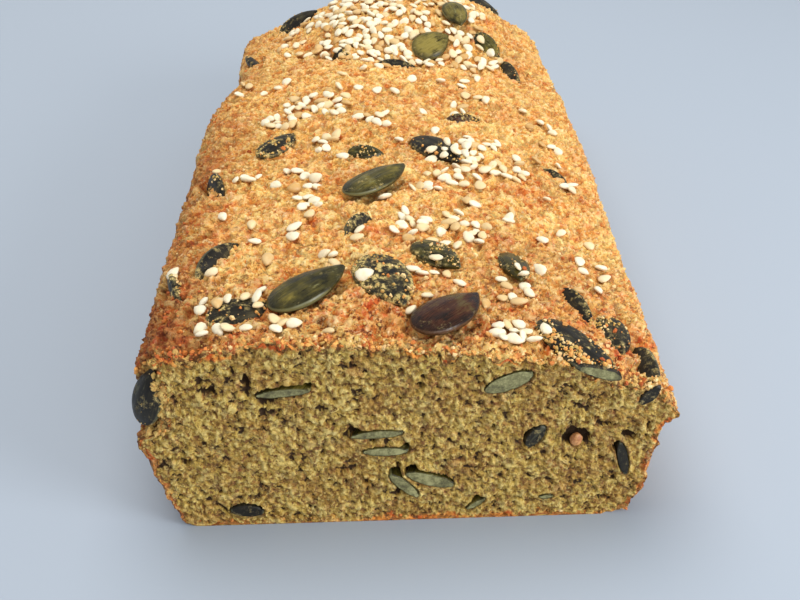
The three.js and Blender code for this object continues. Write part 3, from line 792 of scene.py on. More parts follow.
@dataclass(frozen=True)
class CrustRelief:
    """Relief of the crust: the CAD's lumps and crags, then broken crumb in three sizes and pits."""

    lump: Pair = (14.0, 1.3)
    crag: Pair = (7.0, 1.0)
    clump: float = 3.1
    knob: float = 1.75
    grain: float = 0.95
    pit: float = 0.7
    sunk: float = 0.36

    def coarse(self, points: Array) -> Array:
        """The lumps and crags that the CAD has too."""
        lumps = (soft_noise(points, self.lump[0]) - 0.5) * self.lump[1]
        crags = (soft_noise(points, self.crag[0]) - 0.5) * self.crag[1]
        return (lumps + crags) * smooth(0.6, 5.0, points[..., 2])

    def fine(self, points: Array) -> tuple[Array, dict[str, Array]]:
        """The grain of the crust.

        Args:
            points: places on the smooth crust, shape (n, 3).

        Returns:
            Height over the coarse relief, and the values that colour it.
        """
        clumps = grain_noise(points, self.clump, 21.0, 0.42)
        knobs = grain_noise(points, self.knob, 0.0, 0.42)
        grains = grain_noise(points, self.grain, 9.0, 0.4)
        height = clumps.crumb(0.46, 0.56, 0.05) + knobs.crumb(0.46, 0.6, 0.12)
        height += grains.crumb(0.3, 0.34, 0.05)
        height += 0.55 * layered_noise(points + 40, 1.3, 2)
        height -= self.pit * (1 - smooth(0.2, 0.34, soft_noise(points + 77, 2.3)))
        # lift follows the relief's height; the material paints the low places darker as shade.
        lift = np.clip(0.56 + height / 1.15, 0, 1)
        tones = {"tint": grains.tone, "knob": knobs.tone, "clump": clumps.tone}
        return height - self.sunk, {"lift": lift, **tones}


@dataclass
class CrustSurface:
    """The crust as a fine grid round and along the loaf."""

    form: LoafForm
    relief: CrustRelief
    seeds: list[PumpkinSeed]
    box: tuple[Array, Array]
    shoulders: Pair = (0.225, 0.815)
    columns: tuple[int, int, int] = (88, 336, 76)
    base_columns: int = 34
    bands: tuple[Pair, ...] = ((50.0, 0.33), (112.0, 0.42), (186.0, 0.5))
    end_steps: int = 32
    wear: float = 1.25

    def build(self) -> None:
        """Computes the grid's places, directions and colour values."""
        self.lay_grid()
        self.smooth_places = np.stack([self.form.points(self.us, y) for y in self.ys])
        self.out = np.stack([self.form.directions(self.us, y)[2] for y in self.ys])
        self.out[0, :, 1] = 0
        shape = self.smooth_places.shape[:2]
        flat, normal = self.smooth_places.reshape(-1, 3), self.out.reshape(-1, 3)
        coarse = self.relief.coarse(flat)
        fine, values = self.relief.fine(flat)
        upward = smooth(-0.1, 0.7, normal[:, 2])
        bolder = 1 + 0.3 * upward * np.exp(-flat[:, 1] / 25)
        fine *= smooth(0.0, 2.2, flat[:, 2]) * (0.62 + 0.38 * upward) * bolder
        self.broken = np.zeros(len(flat))
        height = self.make_room(flat, coarse + fine) - self.edge_wear(flat)
        places = flat + normal * height[:, None]
        jagged = 0.5 + 1.1 * layered_noise(flat + 5, 2.2, 3)
        places[:, 1] += 0.75 * np.clip(jagged, 0, 1) * np.exp(-flat[:, 1] / 0.9)
        opened = smooth(0.3, 1.2, self.broken)
        torn = np.clip(0.56 + 0.75 * layered_noise(places + 8, 1.5, 3), 0, 1)
        values["lift"] = values["lift"] * (1 - opened) + torn * opened
        values["toast"] = self.toast(flat)
        values["warm"] = 0.4 + 0.6 * np.exp(-flat[:, 1] / 45)
        values["fresh"] = self.fresh(flat)
        self.values = {key: data.reshape(shape) for key, data in values.items()}
        self.places = np.clip(places, self.box[0], self.box[1]).reshape(*shape, 3)
        self.bed = (flat + normal * (coarse - self.relief.sunk)[:, None]).reshape(*shape, 3)

    def lay_grid(self) -> None:
        """Spaces the grid's columns and rows, and keeps the rows at which the pieces part."""
        left, right = self.shoulders
        spans = ((0.0, left), (left, right), (right, 1.0))
        steps = (round(count / COARSER) for count in self.columns)
        parts = [np.linspace(*span, count, endpoint=False) for span, count in zip(spans, steps)]
        self.us = np.append(np.concatenate(parts), 1.0)
        ys, start, self.splits = [], 0.0, []
        for end, gap in self.bands:
            ys.extend(np.linspace(start, end, round((end - start) / (gap * COARSER)), endpoint=False))
            self.splits.append(len(ys))
            start = end
        turn = np.linspace(0, math.pi / 2, round(self.end_steps / COARSER))
        self.ys = np.append(ys, start + self.form.end_rounding * np.sin(turn))

    def fresh(self, points: Array) -> Array:
        """Where crumb shows in place of crust: specks behind the cut's edge, and the broken corner."""
        specks = smooth(0.3, 0.6, np.exp(-points[:, 1] / 2.2) + 1.1 * layered_noise(points + 50, 2.4, 3))
        specks = specks * np.exp(-points[:, 1] / 4.0) * (points[:, 2] > 20)
        return np.maximum(specks, smooth(0.4, 1.6, self.broken))

    def edge_wear(self, points: Array) -> Array:
        """How much the knife crumbled away along the cut edge."""
        ragged = np.clip(0.4 + 1.4 * layered_noise(points + 3, 3.0, 4), 0, 1)
        return self.wear * ragged * np.exp(-points[:, 1] / 1.1) * smooth(0.5, 4, points[:, 2])

    def make_room(self, points: Array, height: Array) -> Array:
        """Lowers the crust where a pumpkin seed lies on it or shows through it.

        Args:
            points: places on the smooth crust.
            height: height of the relief over them.

        Returns:
            The height with room made for the seeds.
        """
        normal = self.out.reshape(-1, 3)
        for seed in self.seeds:
            near = np.abs(points - seed.origin).max(-1) < seed.size[0] * 0.75
            index = np.flatnonzero(near)
            if not len(index):
                continue
            local = seed.local(points[index] + normal[index] * height[index, None])
            share = seed.share(local)
            if seed.open:
                lost = self.broken_off(local, seed)
                height[index] -= lost
                self.broken[index] = lost
                continue
            proud = float(smooth(0.2, 1.0, seed.lift))
            height[index] -= 0.9 * proud * (1 - smooth(0.75, 1.12, share))
            ragged = 0.72 + 0.35 * soft_noise(points[index] + 21, 1.9) * (1 - 0.6 * seed.dust)
            tilt = np.abs(normal[index] @ seed.turn[:, 2])
            over = local[:, 2] * np.sign(normal[index] @ seed.turn[:, 2])
            above = over - (seed.half_thickness(share) - 0.3)
            inside = (share < ragged) & (above > 0) & (above < DEEPEST_COVER) & (tilt > 0.5)
            height[index] -= np.where(inside, above / np.maximum(tilt, 0.5), 0)
        return height

    def broken_off(self, local: Array, seed: PumpkinSeed) -> Array:
        """How much crust broke away in front of a seed at the cut edge.

        Args:
            local: places on the crust in the seed's frame.
            seed: the seed.

        Returns:
            The height lost.
        """
        ahead = float(np.sign(-seed.turn[1, 2])) * local[:, 2]
        frayed = seed.share(local) + 0.25 * layered_noise(local + 9, 2.2, 2)
        lumps = 0.9 * (layered_noise(local + 4, 2.0, 3) + 0.4)
        return (5.6 - lumps) * (1 - smooth(1.12, 1.45, frayed)) * smooth(-2.2, -0.8, ahead)

    def toast(self, points: Array) -> Array:
        """How browned the crust is, with painted shade on its left side: least on the crown, most at the
        walls and the base.

        Args:
            points: places on the smooth crust.

        Returns:
            The shares of browning and of painted shade.
        """
        x, z = points[:, 0], points[:, 2]
        # The left terms darken the left side, and the lower walls more on the left, as painted shade added
        # to the browning.
        left = 1 - smooth(-50, -32, x)
        left_shade = 1 - smooth(-20, 20, x)
        upper = smooth(18, 30, z)
        wall = (1 - smooth(27, 37, z)) * (0.08 + 0.14 * left_shade)
        near = np.exp(-points[:, 1] / 28)
        base = (1 - smooth(0.5, 4, z)) * (0.1 + 0.2 * left_shade)
        patches = 0.5 * (soft_noise(points, 19.0) - 0.45)
        browned = 0.48 * left * (0.5 + 0.5 * upper) + wall + base + 0.16 * near + 0.5 * left * near * upper
        return np.clip(browned + patches, 0, 0.9)

    def at(self, u: float, y: float, grid: Array) -> Array:
        """Looks a grid up between its vertices.

        Args:
            u: the way round the crust.
            y: the way along it.
            grid: the values to look up, shape (rows, columns, ...).

        Returns:
            The value there.
        """
        column = np.interp(u, self.us, np.arange(len(self.us)))
        row = np.interp(y, self.ys, np.arange(len(self.ys)))
        i, j = min(int(row), len(self.ys) - 2), min(int(column), len(self.us) - 2)
        s, t = row - i, column - j
        near, far = (grid[k, j] * (1 - t) + grid[k, j + 1] * t for k in (i, i + 1))
        return near * (1 - s) + far * s


@dataclass
class CrustBody:
    """The crust's pieces: three lengths of the loaf, each a closed mesh, and the far end's wall.

    The front length ends behind the cut face in a ring drawn in towards the core.
    """

    surface: CrustSurface
    work: WorkFrame
    names: tuple[str, ...] = ("crust_front", "crust_middle", "crust_far")
    core: Triple = (-2.0, 0.0, 20.0)
    drawn_in: float = 0.93
    behind_cut: float = 3.4
    end_cells: tuple[int, int] = (150, 64)

    def build(self, material: Material) -> None:
        """Builds and dresses the pieces.

        Args:
            material: the crust's material.
        """
        edges = [0, *self.surface.splits[:2], len(self.surface.ys) - 1]
        pieces = [self.length_of_crust(*rows) for rows in zip(self.names, edges, edges[1:])]
        for piece in (*pieces, self.end_wall()):
            finish_piece(piece, material, "crust", LOAF_NODE)

    def base(self, rows: Array) -> Array:
        """The dimpled underside below some rows of the grid.

        Args:
            rows: their places, shape (rows, columns, 3).

        Returns:
            Rows of places from the right edge of the base to the left.
        """
        count = self.surface.base_columns
        shares = (np.arange(1, count) / count)[None, :, None]
        base = rows[:, -1:] * (1 - shares) + rows[:, :1] * shares
        flat = base.reshape(-1, 3)
        dimple = 0.5 * smooth(0.5, 0.8, soft_noise(flat + 8, 3.4)) + 0.15 * soft_noise(flat, 1.1)
        edge = np.minimum(shares, 1 - shares)[0, :, 0]
        base[..., 2] += dimple.reshape(base.shape[:2]) * smooth(0, 0.08, edge)
        return base

    def length_of_crust(self, name: str, first: int, last: int) -> Piece:
        """One length of the loaf between two rows of the grid.

        Args:
            name: the piece's name.
            first: its first row.
            last: its last row.

        Returns:
            The piece.
        """
        rows = self.surface.places[first:last + 1]
        base = self.base(rows)
        ring = np.concatenate([rows, base], 1)
        near_ring, near_y = ring[0], rows[0, :, 1].mean()
        if first == 0:
            near_y = self.behind_cut
            near_ring = self.core + (ring[0] - self.core) * self.drawn_in
            near_ring[:, 1] = near_y
        hubs = np.array([self.core, self.core])
        hubs[:, 1] = near_y, ring[-1][:, 1].mean() - 1
        around = ring.shape[1]
        order = np.arange((len(rows) + 2) * around).reshape(-1, around)
        *grid, near, far = order
        hub = order.size
        faces = [
            grid_faces(len(rows), around, True), band(grid[0], near), band(far, grid[-1]),
            fan(hub, near, flip=True), fan(hub + 1, far),
        ]
        values = {}
        for key, data in self.surface.values.items():
            under = np.full(base.shape[:2], UNDERSIDE.get(key, UNDERSIDE_REST))
            shown = np.concatenate([data[first:last + 1], under], 1).ravel()
            values[key] = np.append(shown, np.full(2 * around + 2, UNSEEN))
        vertices = np.vstack([ring.reshape(-1, 3), near_ring, ring[-1], hubs])
        return make_piece(name, self.work.to_row(vertices), faces, values, flat_from=1)

    def end_wall(self) -> Piece:
        """The far end of the loaf, baked against the tin.

        Returns:
            The piece.
        """
        surface = self.surface
        patch = Patch.inside(surface, len(surface.ys) - 1, self.end_cells)
        points = patch.points.reshape(-1, 3)
        coarse = soft_noise(points, 7.0) - 0.5
        fine, values = surface.relief.fine(points)
        inner = smooth(0, 2.5, patch.margin.ravel())
        rise = surface.form.end_dome * ((1 - (2 * patch.s - 1) ** 4) * (1 - (2 * patch.t - 1) ** 4)).ravel()
        points[:, 1] += rise + (coarse * 0.6 + 0.7 * (fine + 0.2)) * inner
        points[:, 1] = np.minimum(points[:, 1], surface.box[1][1])
        values["toast"] = np.clip(0.35 + 0.4 * (1 - smooth(20, 34, points[:, 2])), 0, 1)
        return patch.closed("crust_end", points, values, self.work, front=False)


@dataclass
class Patch:
    """A grid that fills the loaf's outline at one row of the crust.

    Its back is as wide as the share back_width, and lies behind it by the first of backs at the
    cut and by the second at the far end.
    """

    points: Array
    s: Array
    t: Array
    margin: Array
    back_width: float = 0.95
    backs: Pair = (2.9, -4.0)

    @classmethod
    def inside(cls, surface: CrustSurface, row: int, cells: tuple[int, int]) -> "Patch":
        """Fills the ring of one row.

        Args:
            surface: the crust.
            row: its row.
            cells: cells across and up.

        Returns:
            The patch, with s across and t up from 0 to 1, and the margin to the outline in mm.
        """
        across, up = (max(8, round(n / COARSER)) for n in cells)
        s, t = np.linspace(0, 1, across + 1), np.linspace(0, 1, up + 1)
        smooth_ring = surface.smooth_places[row]
        wide, high = np.ptp(smooth_ring[:, 0]), np.ptp(smooth_ring[:, 2])
        inward = [s * wide, (1 - s) * wide, t * high, (1 - t) * high]
        west, east = (part[:, None, None] for part in (1 - s, s))
        base, top = (part[None, :, None] for part in (1 - t, t))
        points = cls.filled(cls.sides(surface, row, smooth_ring, s, t), west, east, base, top)
        fades = [1 - smooth(0, RELIEF_FADE, part) for part in inward]
        west, east = (part[:, None, None] for part in fades[:2])
        base, top = (part[None, :, None] for part in fades[2:])
        relief = surface.places[row] - smooth_ring
        points += cls.filled(cls.sides(surface, row, relief, s, t), west, east, base, top)
        margin = np.minimum(np.minimum(*inward[:2])[:, None], np.minimum(*inward[2:])[None])
        return cls(points, s[:, None] + 0 * margin, t[None] + 0 * margin, margin)

    @staticmethod
    def sides(surface: CrustSurface, row: int, ring: Array, s: Array, t: Array) -> list[Array]:
        """Samples a ring along the four sides of the patch, which meet where the outline turns.

        Args:
            surface: the crust.
            row: its row.
            ring: one vector for each place round that row.
            s: shares of the way across.
            t: shares of the way up.

        Returns:
            The left, right, lower and upper side.
        """
        out, us = surface.out[row], surface.us
        low_left, high_left, high_right, low_right = (
            us[np.argmax(out[:, 0] * x + out[:, 2] * z)] for x, z in ((-1, -1), (-1, 1), (1, 1), (1, -1)))

        def along(ways: Array, given: Array = us, values: Array = ring) -> Array:
            """The ring at the given ways round it."""
            return np.stack([np.interp(ways, given, values[:, axis]) for axis in range(3)], -1)

        sides = (us <= low_left, us >= low_right)
        below = np.concatenate([np.flatnonzero(side)[::-1] for side in sides])
        steps = np.linalg.norm(np.diff(surface.smooth_places[row][below], axis=0), axis=1)
        lengths = np.append(0, np.cumsum(steps))
        lower = along(s, lengths / lengths[-1], ring[below])
        left, right = (along(low + (high - low) * t) for low, high in
                       ((low_left, high_left), (low_right, high_right)))
        return [left, right, lower, along(high_left + (high_right - high_left) * s)]

    @staticmethod
    def filled(sides: list[Array], west: Array, east: Array, base: Array, top: Array) -> Array:
        """Blends four sides over the patch, each by its own share.

        Args:
            sides: the left, right, lower and upper side.
            west: share of the left side.
            east: share of the right side.
            base: share of the lower side.
            top: share of the upper side.

        Returns:
            The blend, shape (across, up, 3).
        """
        left, right, lower, upper = sides
        points = west * left[None] + east * right[None] + base * lower[:, None] + top * upper[:, None]
        points -= west * (base * lower[0] + top * upper[0])
        return points - east * (base * lower[-1] + top * upper[-1])

    def closed(self, name: str, points: Array, values: dict[str, Array], work: WorkFrame,
               front: bool) -> Piece:
        """Closes the patch behind with a shallow back.

        Args:
            name: the piece's name.
            points: its finished vertices.
            values: vertex attributes.
            work: the work frame.
            front: whether it faces the cut side.

        Returns:
            The piece.
        """
        columns, rows = self.s.shape
        order = np.arange(columns * rows).reshape(columns, rows)
        rim = np.concatenate([order[:, 0], order[-1, 1:], order[-2::-1, -1], order[0, -2:0:-1]])
        middle = points[rim].mean(0)
        back = middle + (points[rim] - middle) * self.back_width
        back[:, 1] = middle[1] = middle[1] + self.backs[0 if front else 1]
        behind = len(points) + np.arange(len(rim))
        faces = [grid_faces(columns, rows, False, flip=front), band(rim, behind, flip=not front),
                 fan(behind[-1] + 1, behind, flip=front)]
        values = {key: np.append(data, np.full(len(rim) + 1, UNSEEN)) for key, data in values.items()}
        return make_piece(name, work.to_row(np.vstack([points, back, middle])), faces, values, flat_from=1)


@dataclass(frozen=True)
class Hole:
    """A hole in the crumb: its middle on the cut face, its reach and how deep it goes."""

    x: float
    z: float
    wide: float
    high: float
    depth: float = 2.2


HOLES = tuple(Hole(*row) for row in (
    (30.9, 20.7, 2.3, 2.5, 2.0), (35.9, 23.2, 2.6, 0.6, 1.6), (40.6, 20.6, 1.6, 1.0, 1.8),
    (-31.6, 36.2, 0.5, 1.6), (-38.7, 33.8, 1.5, 0.8, 1.8), (14.5, 23.3, 0.5, 0.8),
    (-3.6, 14.8, 0.5, 0.7), (-10.0, 10.6, 0.8, 0.8), (0.4, 34.0, 0.9, 0.6),
    (36.9, 4.4, 1.2, 0.5, 1.5), (24.0, 38.0, 1.6, 0.6, 1.4), (-44.5, 17.0, 1.0, 0.7, 1.4),
))


@dataclass
class CrumbFace:
    """The sliced face: crumb clusters, pores, holes round the cut seeds and the crust's edge."""

    surface: CrustSurface
    work: WorkFrame
    cells: tuple[int, int] = (404, 172)
    size: Pair = (100.0, 44.0)
    hole_depth: float = 2.3
    deepest: float = 2.6

    def build(self, material: Material) -> None:
        """Builds and dresses the face.

        Args:
            material: the crumb's material.
        """
        patch = Patch.inside(self.surface, 0, self.cells)
        points = patch.points.reshape(-1, 3)
        margin = patch.margin.ravel()
        depth, values = self.depth(points)
        points[:, 1] = points[:, 1] * (1 - smooth(0.0, 1.0, margin)) + depth * smooth(0.0, 0.6, margin)
        points[:, 1] = np.clip(points[:, 1], self.surface.box[0][1] + 0.005, None)
        values["rim"] = self.rim(points, patch)
        piece = patch.closed("crumb_face", points, values, self.work, front=True)
        finish_piece(piece, material, "crumb", LOAF_NODE)

    def depth(self, points: Array) -> tuple[Array, dict[str, Array]]:
        """How far the crumb lies behind the knife's plane.

        Args:
            points: places on the plane.

        Returns:
            The depth, and the values that colour the crumb.
        """
        flat = points * (1, 0, 1)
        clusters = grain_noise(flat, 2.6, 3.0, 0.42)
        knobs = grain_noise(flat, 1.45, 5.0, 0.44)
        grains = grain_noise(flat, 0.8, 6.0, 0.4)
        coarse = smooth(0.4, 0.62, soft_noise(flat + 7, 7.0))
        rough = clusters.crumb(0.3, 0.46, 0.05) * (0.4 + 0.9 * coarse)
        rough += knobs.crumb(0.42, 0.52, 0.12) * (0.55 + 0.55 * coarse)
        rough += grains.crumb(0.32, 0.36, 0.06) * (1.25 - 0.35 * coarse)
        rough += 0.65 * layered_noise(flat + 15, 1.1, 2)
        depth = 0.5 + 0.3 * (soft_noise(flat + 60, 9.0) - 0.5) - rough
        ragged = 0.6 * layered_noise(flat + 33, 2.2, 3)
        pores = grain_noise(flat, 5.2, 12.0, 0.2)
        reach = 0.01 + 0.14 * smooth(0.68, 1.0, pores.second)
        deep = 1.2 * (1 - smooth(0.6, 1.25, pores.near / reach + ragged))
        deep = np.maximum(deep, 0.45 * (1 - smooth(0.14, 0.28, soft_noise(flat + 90, 1.4))))
        for hole in HOLES:
            away = np.hypot((points[:, 0] - hole.x) / hole.wide, (points[:, 2] - hole.z) / hole.high)
            deep = np.maximum(deep, hole.depth * (1 - smooth(0.75, 1.15, away + ragged)))
        for spec, seed in zip(CUT_SEEDS, (seed for seed in self.surface.seeds if seed.skin is Skin.CUT)):
            gap, outside = self.gap_round(points, spec, seed, ragged)
            deep = np.maximum(deep, gap)
            depth *= 0.15 + 0.85 * smooth(0.15, 1.1, outside)
        # lift falls in pores, holes and hollows; the material paints these darker as shade.
        lift = np.clip(0.58 + rough / 0.85 - deep / 1.1, 0, 1)
        values = {"lift": lift, "tint": grains.tone, "knob": knobs.tone}
        return np.clip(depth + deep, 0.02, self.deepest), values

    def gap_round(self, points: Array, spec: CutSeedSpec, seed: PumpkinSeed,
                  ragged: Array) -> tuple[Array, Array]:
        """The ragged gap between a cut seed and the crumb.

        Args:
            points: places on the plane.
            spec: the seed's spec with its voids.
            seed: the placed seed.
            ragged: noise that frays the gap.

        Returns:
            Depth of the gap, and the distance to the seed.
        """
        clearance, width = 0.1, 0.05
        local = seed.local(points)
        share = seed.share(local, clearance)
        body = seed.half_thickness(np.minimum(share, 0.98)) + clearance
        outside = np.maximum(np.abs(local[:, 2]) - body, 0) + np.maximum(share - 1, 0) * seed.size[1] / 2
        for along, wide, reach in spec.voids:
            width = width + abs(wide) * bell(along, reach, local[:, 1]) * (local[:, 2] * wide < 0)
        return self.hole_depth * (1 - smooth(0.55, 1.2, outside / width + ragged)), outside

    def rim(self, points: Array, patch: Patch) -> Array:
        """How far the browned crust reaches in from the outline.

        Args:
            points: the face's places.
            patch: the patch that they fill.

        Returns:
            The reach, 1 on the crust.
        """
        fray = 1.5 * layered_noise(points + 2, 4.0, 4)
        s, t = patch.s.ravel(), patch.t.ravel()
        wide, high = self.size
        top = (1 - t) * high - 1.9 * (1 - smooth(0.06, 0.3, s))
        left = 1 - smooth(0.3, 1.5, s * wide + 1.3 * fray)
        right = 1 - smooth(0.4, 1.6, (1 - s) * wide + fray)
        base = (1 - smooth(0.0, 1.1, t * high + 2.1 * fray)) * smooth(-22, -8, points[:, 0])
        return np.maximum.reduce([left, right, base, 1 - smooth(-0.2, 1.0, top + 1.5 * fray)])


@dataclass(frozen=True)
class Lentil:
    """A cooked lentil that shows in a hole of the crumb."""

    place: Triple = (30.8, 1.1, 19.5)
    half: Triple = (1.2, 0.9, 1.5)
    sides: int = 28
    rings: int = 14

    def build(self, work: WorkFrame, material: Material) -> None:
        """Builds and dresses the lentil.

        Args:
            work: the frame to place it in.
            material: its material.
        """
        turn, rise = round_steps(self.sides), np.linspace(0, math.pi, self.rings + 1)[1:-1]
        ball = dome(np.sin(rise), np.cos(turn), np.sin(turn), np.cos(rise))
        waist = len(ball) // 2
        points, quads, tris = closed_shell(ball[:waist], ball[:waist:-1], ball[waist], 1, -1)
        points = points * (1 + 0.16 * layered_noise(points * 3 + 5, 2.0, 3))[:, None]
        points = points * self.half + self.place
        finish_piece(make_piece("lentil", work.inside(points), [quads, tris]), material, "crumb", LOAF_NODE)


# Shader nodes


class Sheet:
    """Adds shader nodes to one tree and wires them."""

    def __init__(self, tree: Tree) -> None:
        """Starts on a tree."""
        self.tree = tree

    def put(self, kind: str, inputs: dict[str | int, Value] | None = None, **settings: object) -> Node:
        """Adds a node.

        Args:
            kind: the node's type.
            inputs: values or sockets for its inputs, by name or place.
            settings: the node's own settings.

        Returns:
            The node.
        """
        node = self.tree.nodes.new(kind)
        for key, value in settings.items():
            setattr(node, key, value)
        for key, value in (inputs or {}).items():
            self.feed(node.inputs[key], value)
        return node

    def feed(self, socket: Socket, value: Value) -> None:
        """Links a socket or sets its own value.

        Args:
            socket: the input to feed.
            value: what it gets.
        """
        if isinstance(value, Socket):
            self.tree.links.new(value, socket)
        else:
            socket.default_value = (*value[:3], 1.0) if socket.type == "RGBA" else value

    def reading(self, name: str, output: str = "Fac") -> Socket:
        """A vertex attribute, as a number or by its Vector output."""
        return self.put("ShaderNodeAttribute", attribute_name=name).outputs[output]

    def place(self) -> Socket:
        """The piece's own coordinates in metres."""
        return self.put("ShaderNodeTexCoord").outputs["Object"]

    def noise(self, at: Value, size: float, detail: float = 2.0, rough: float = 0.5) -> Socket:
        """Soft noise whose patches are about size metres wide."""
        inputs = {"Vector": at, "Scale": 1 / size, "Detail": detail, "Roughness": rough}
        return self.put("ShaderNodeTexNoise", inputs).outputs["Fac"]

    def drawn_out(self, at: Value, size: float, share: float, detail: float, rough: float) -> Socket:
        """Soft noise whose patches are drawn out along X, so that a step there counts for share."""
        stretched = self.put("ShaderNodeMapping", {"Vector": at, "Scale": (share, 1.0, 1.0)}).outputs[0]
        return self.noise(stretched, size, detail, rough)

    def sums(self, operation: str, first: Value, second: Value = 0.0, third: Value = 0.0) -> Socket:
        """One step of arithmetic, kept from 0 to 1 where the operation ends in CLAMP."""
        name, _, clamp = operation.partition(" ")
        inputs = {0: first, 1: second, 2: third}
        return self.put("ShaderNodeMath", inputs, operation=name, use_clamp=bool(clamp)).outputs[0]

    def times(self, first: Value, second: Value) -> Socket:
        """A product."""
        return self.sums("MULTIPLY", first, second)

    def scaled(self, value: Value, factor: Value, plus: Value) -> Socket:
        """A value times a factor, plus another."""
        return self.sums("MULTIPLY_ADD", value, factor, plus)

    def remap(self, value: Value, low: float, high: float, to_low: float = 0.0,
              to_high: float = 1.0) -> Socket:
        """A smooth step between two values."""
        inputs = {"Value": value, "From Min": low, "From Max": high, "To Min": to_low, "To Max": to_high}
        return self.put("ShaderNodeMapRange", inputs, interpolation_type="SMOOTHSTEP").outputs["Result"]

    def mix(self, share: Value, first: Value, second: Value, blend: str = "MIX") -> Socket:
        """Mixes two colours."""
        inputs = {0: share, 6: first, 7: second}
        return self.put("ShaderNodeMix", inputs, data_type="RGBA", blend_type=blend).outputs[2]

    def ramp(self, value: Value, stops: Sequence[tuple[float, Rgb]], hard: bool = False) -> Socket:
        """Colours along a value.

        Args:
            value: the value, 0 to 1.
            stops: places and colours.
            hard: steps from colour to colour, with nothing between.

        Returns:
            The colour.
        """
        node = self.put("ShaderNodeValToRGB", {"Fac": value})
        node.color_ramp.interpolation = "CONSTANT" if hard else "LINEAR"
        elements = node.color_ramp.elements
        while len(elements) < len(stops):
            elements.new(0.5)
        for element, (place, colour) in zip(elements, stops):
            element.position, element.color = place, (*colour, 1.0)
        return node.outputs["Color"]

    def sorted_by(self, name: str, share: Value, under: Socket,
                  kinds: Sequence[tuple[float, Rgb]]) -> Socket:
        """Colour with a share of the kind that each grain drew, by the attribute of that name."""
        return self.mix(share, under, self.ramp(self.reading(name), kinds, hard=True))


class Dressing(Sheet):
    """A material in the making: a sheet on its tree, its fine grain and the shader that they feed."""

    def __init__(self, name: str, grain: Tree | None = None, scale: float = 1500.0,
                 flecks: float = 0.1) -> None:
        """Starts a material.

        Args:
            name: its name.
            grain: the fine grain group, where it has one.
            scale: grains to the metre.
            flecks: share of the grains that are flecks.
        """
        self.material = bpy.data.materials.new(name)
        self.material.use_nodes = True
        super().__init__(self.material.node_tree)
        self.shader = self.tree.nodes["Principled BSDF"].inputs
        if grain:
            inputs = {"Place": self.place(), "Scale": scale, "Flecks": flecks}
            self.fine = self.put("ShaderNodeGroup", inputs, node_tree=grain).outputs

    def done(self, colour: Value, rough: Value, height: Value, bump: Pair,
             specular: float = 0.5) -> Material:
        """Feeds the shader.

        Args:
            colour: the base colour.
            rough: the roughness.
            height: height of the bump, 0 to 1.
            bump: what a height of 1 is in metres, and the share of the effect.
            specular: the specular level.

        Returns:
            The material.
        """
        relief = self.put("ShaderNodeBump", {"Height": height, "Distance": bump[0], "Strength": bump[1]})
        self.feed(self.shader["Base Color"], colour)
        self.feed(self.shader["Roughness"], rough)
        self.feed(self.shader["Normal"], relief.outputs["Normal"])
        self.shader["Specular IOR Level"].default_value = specular
        return self.material


def fine_grain_group() -> Tree:
    """Grain finer than the mesh: a height, a shade, flecks and painted shade in the crevices, for all that
    is crumbly.

    Returns:
        The node group.
    """
    tree = bpy.data.node_groups.new("fine_grain", "ShaderNodeTree")
    for label, kind in (("Place", "Vector"), ("Scale", "Float"), ("Flecks", "Float")):
        tree.interface.new_socket(label, in_out="INPUT", socket_type=f"NodeSocket{kind}")
    for label in ("Height", "Shade", "Fleck", "Crevice"):
        tree.interface.new_socket(label, in_out="OUTPUT", socket_type="NodeSocketFloat")
    sheet = Sheet(tree)
    start, end = sheet.put("NodeGroupInput").outputs, sheet.put("NodeGroupOutput").inputs
    place, scale = start["Place"], start["Scale"]
    swirl = sheet.put("ShaderNodeTexNoise", {"Vector": place, "Scale": scale, "Detail": 2.0})
    inputs = {0: swirl.outputs["Color"], 1: (0.0011,) * 3, 2: place}
    pushed = sheet.put("ShaderNodeVectorMath", inputs, operation="MULTIPLY_ADD")
    cells = sheet.put("ShaderNodeTexVoronoi", {"Vector": pushed.outputs[0], "Scale": scale}).outputs
    inputs = {"Vector": place, "Scale": sheet.times(scale, 0.5), "Detail": 5.0, "Roughness": 0.72}
    turmoil = sheet.remap(sheet.put("ShaderNodeTexNoise", inputs).outputs["Fac"], 0.3, 0.7)
    split = sheet.put("ShaderNodeSeparateColor", {"Color": cells["Color"]}).outputs
    fleck = sheet.sums("LESS_THAN", split["Red"], start["Flecks"])
    sheet.feed(end["Height"], sheet.scaled(cells["Distance"], -0.35, turmoil))
    sheet.feed(end["Shade"], sheet.scaled(split["Green"], 0.35, sheet.times(turmoil, 0.65)))
    sheet.feed(end["Fleck"], sheet.times(fleck, sheet.remap(cells["Distance"], 0.6, 0.3)))
    # The crevice output is painted shade: high where the grain's bump is low, between the cells.
    sheet.feed(end["Crevice"], sheet.remap(sheet.scaled(cells["Distance"], -0.25, turmoil), 0.2, 0.02))
    return tree


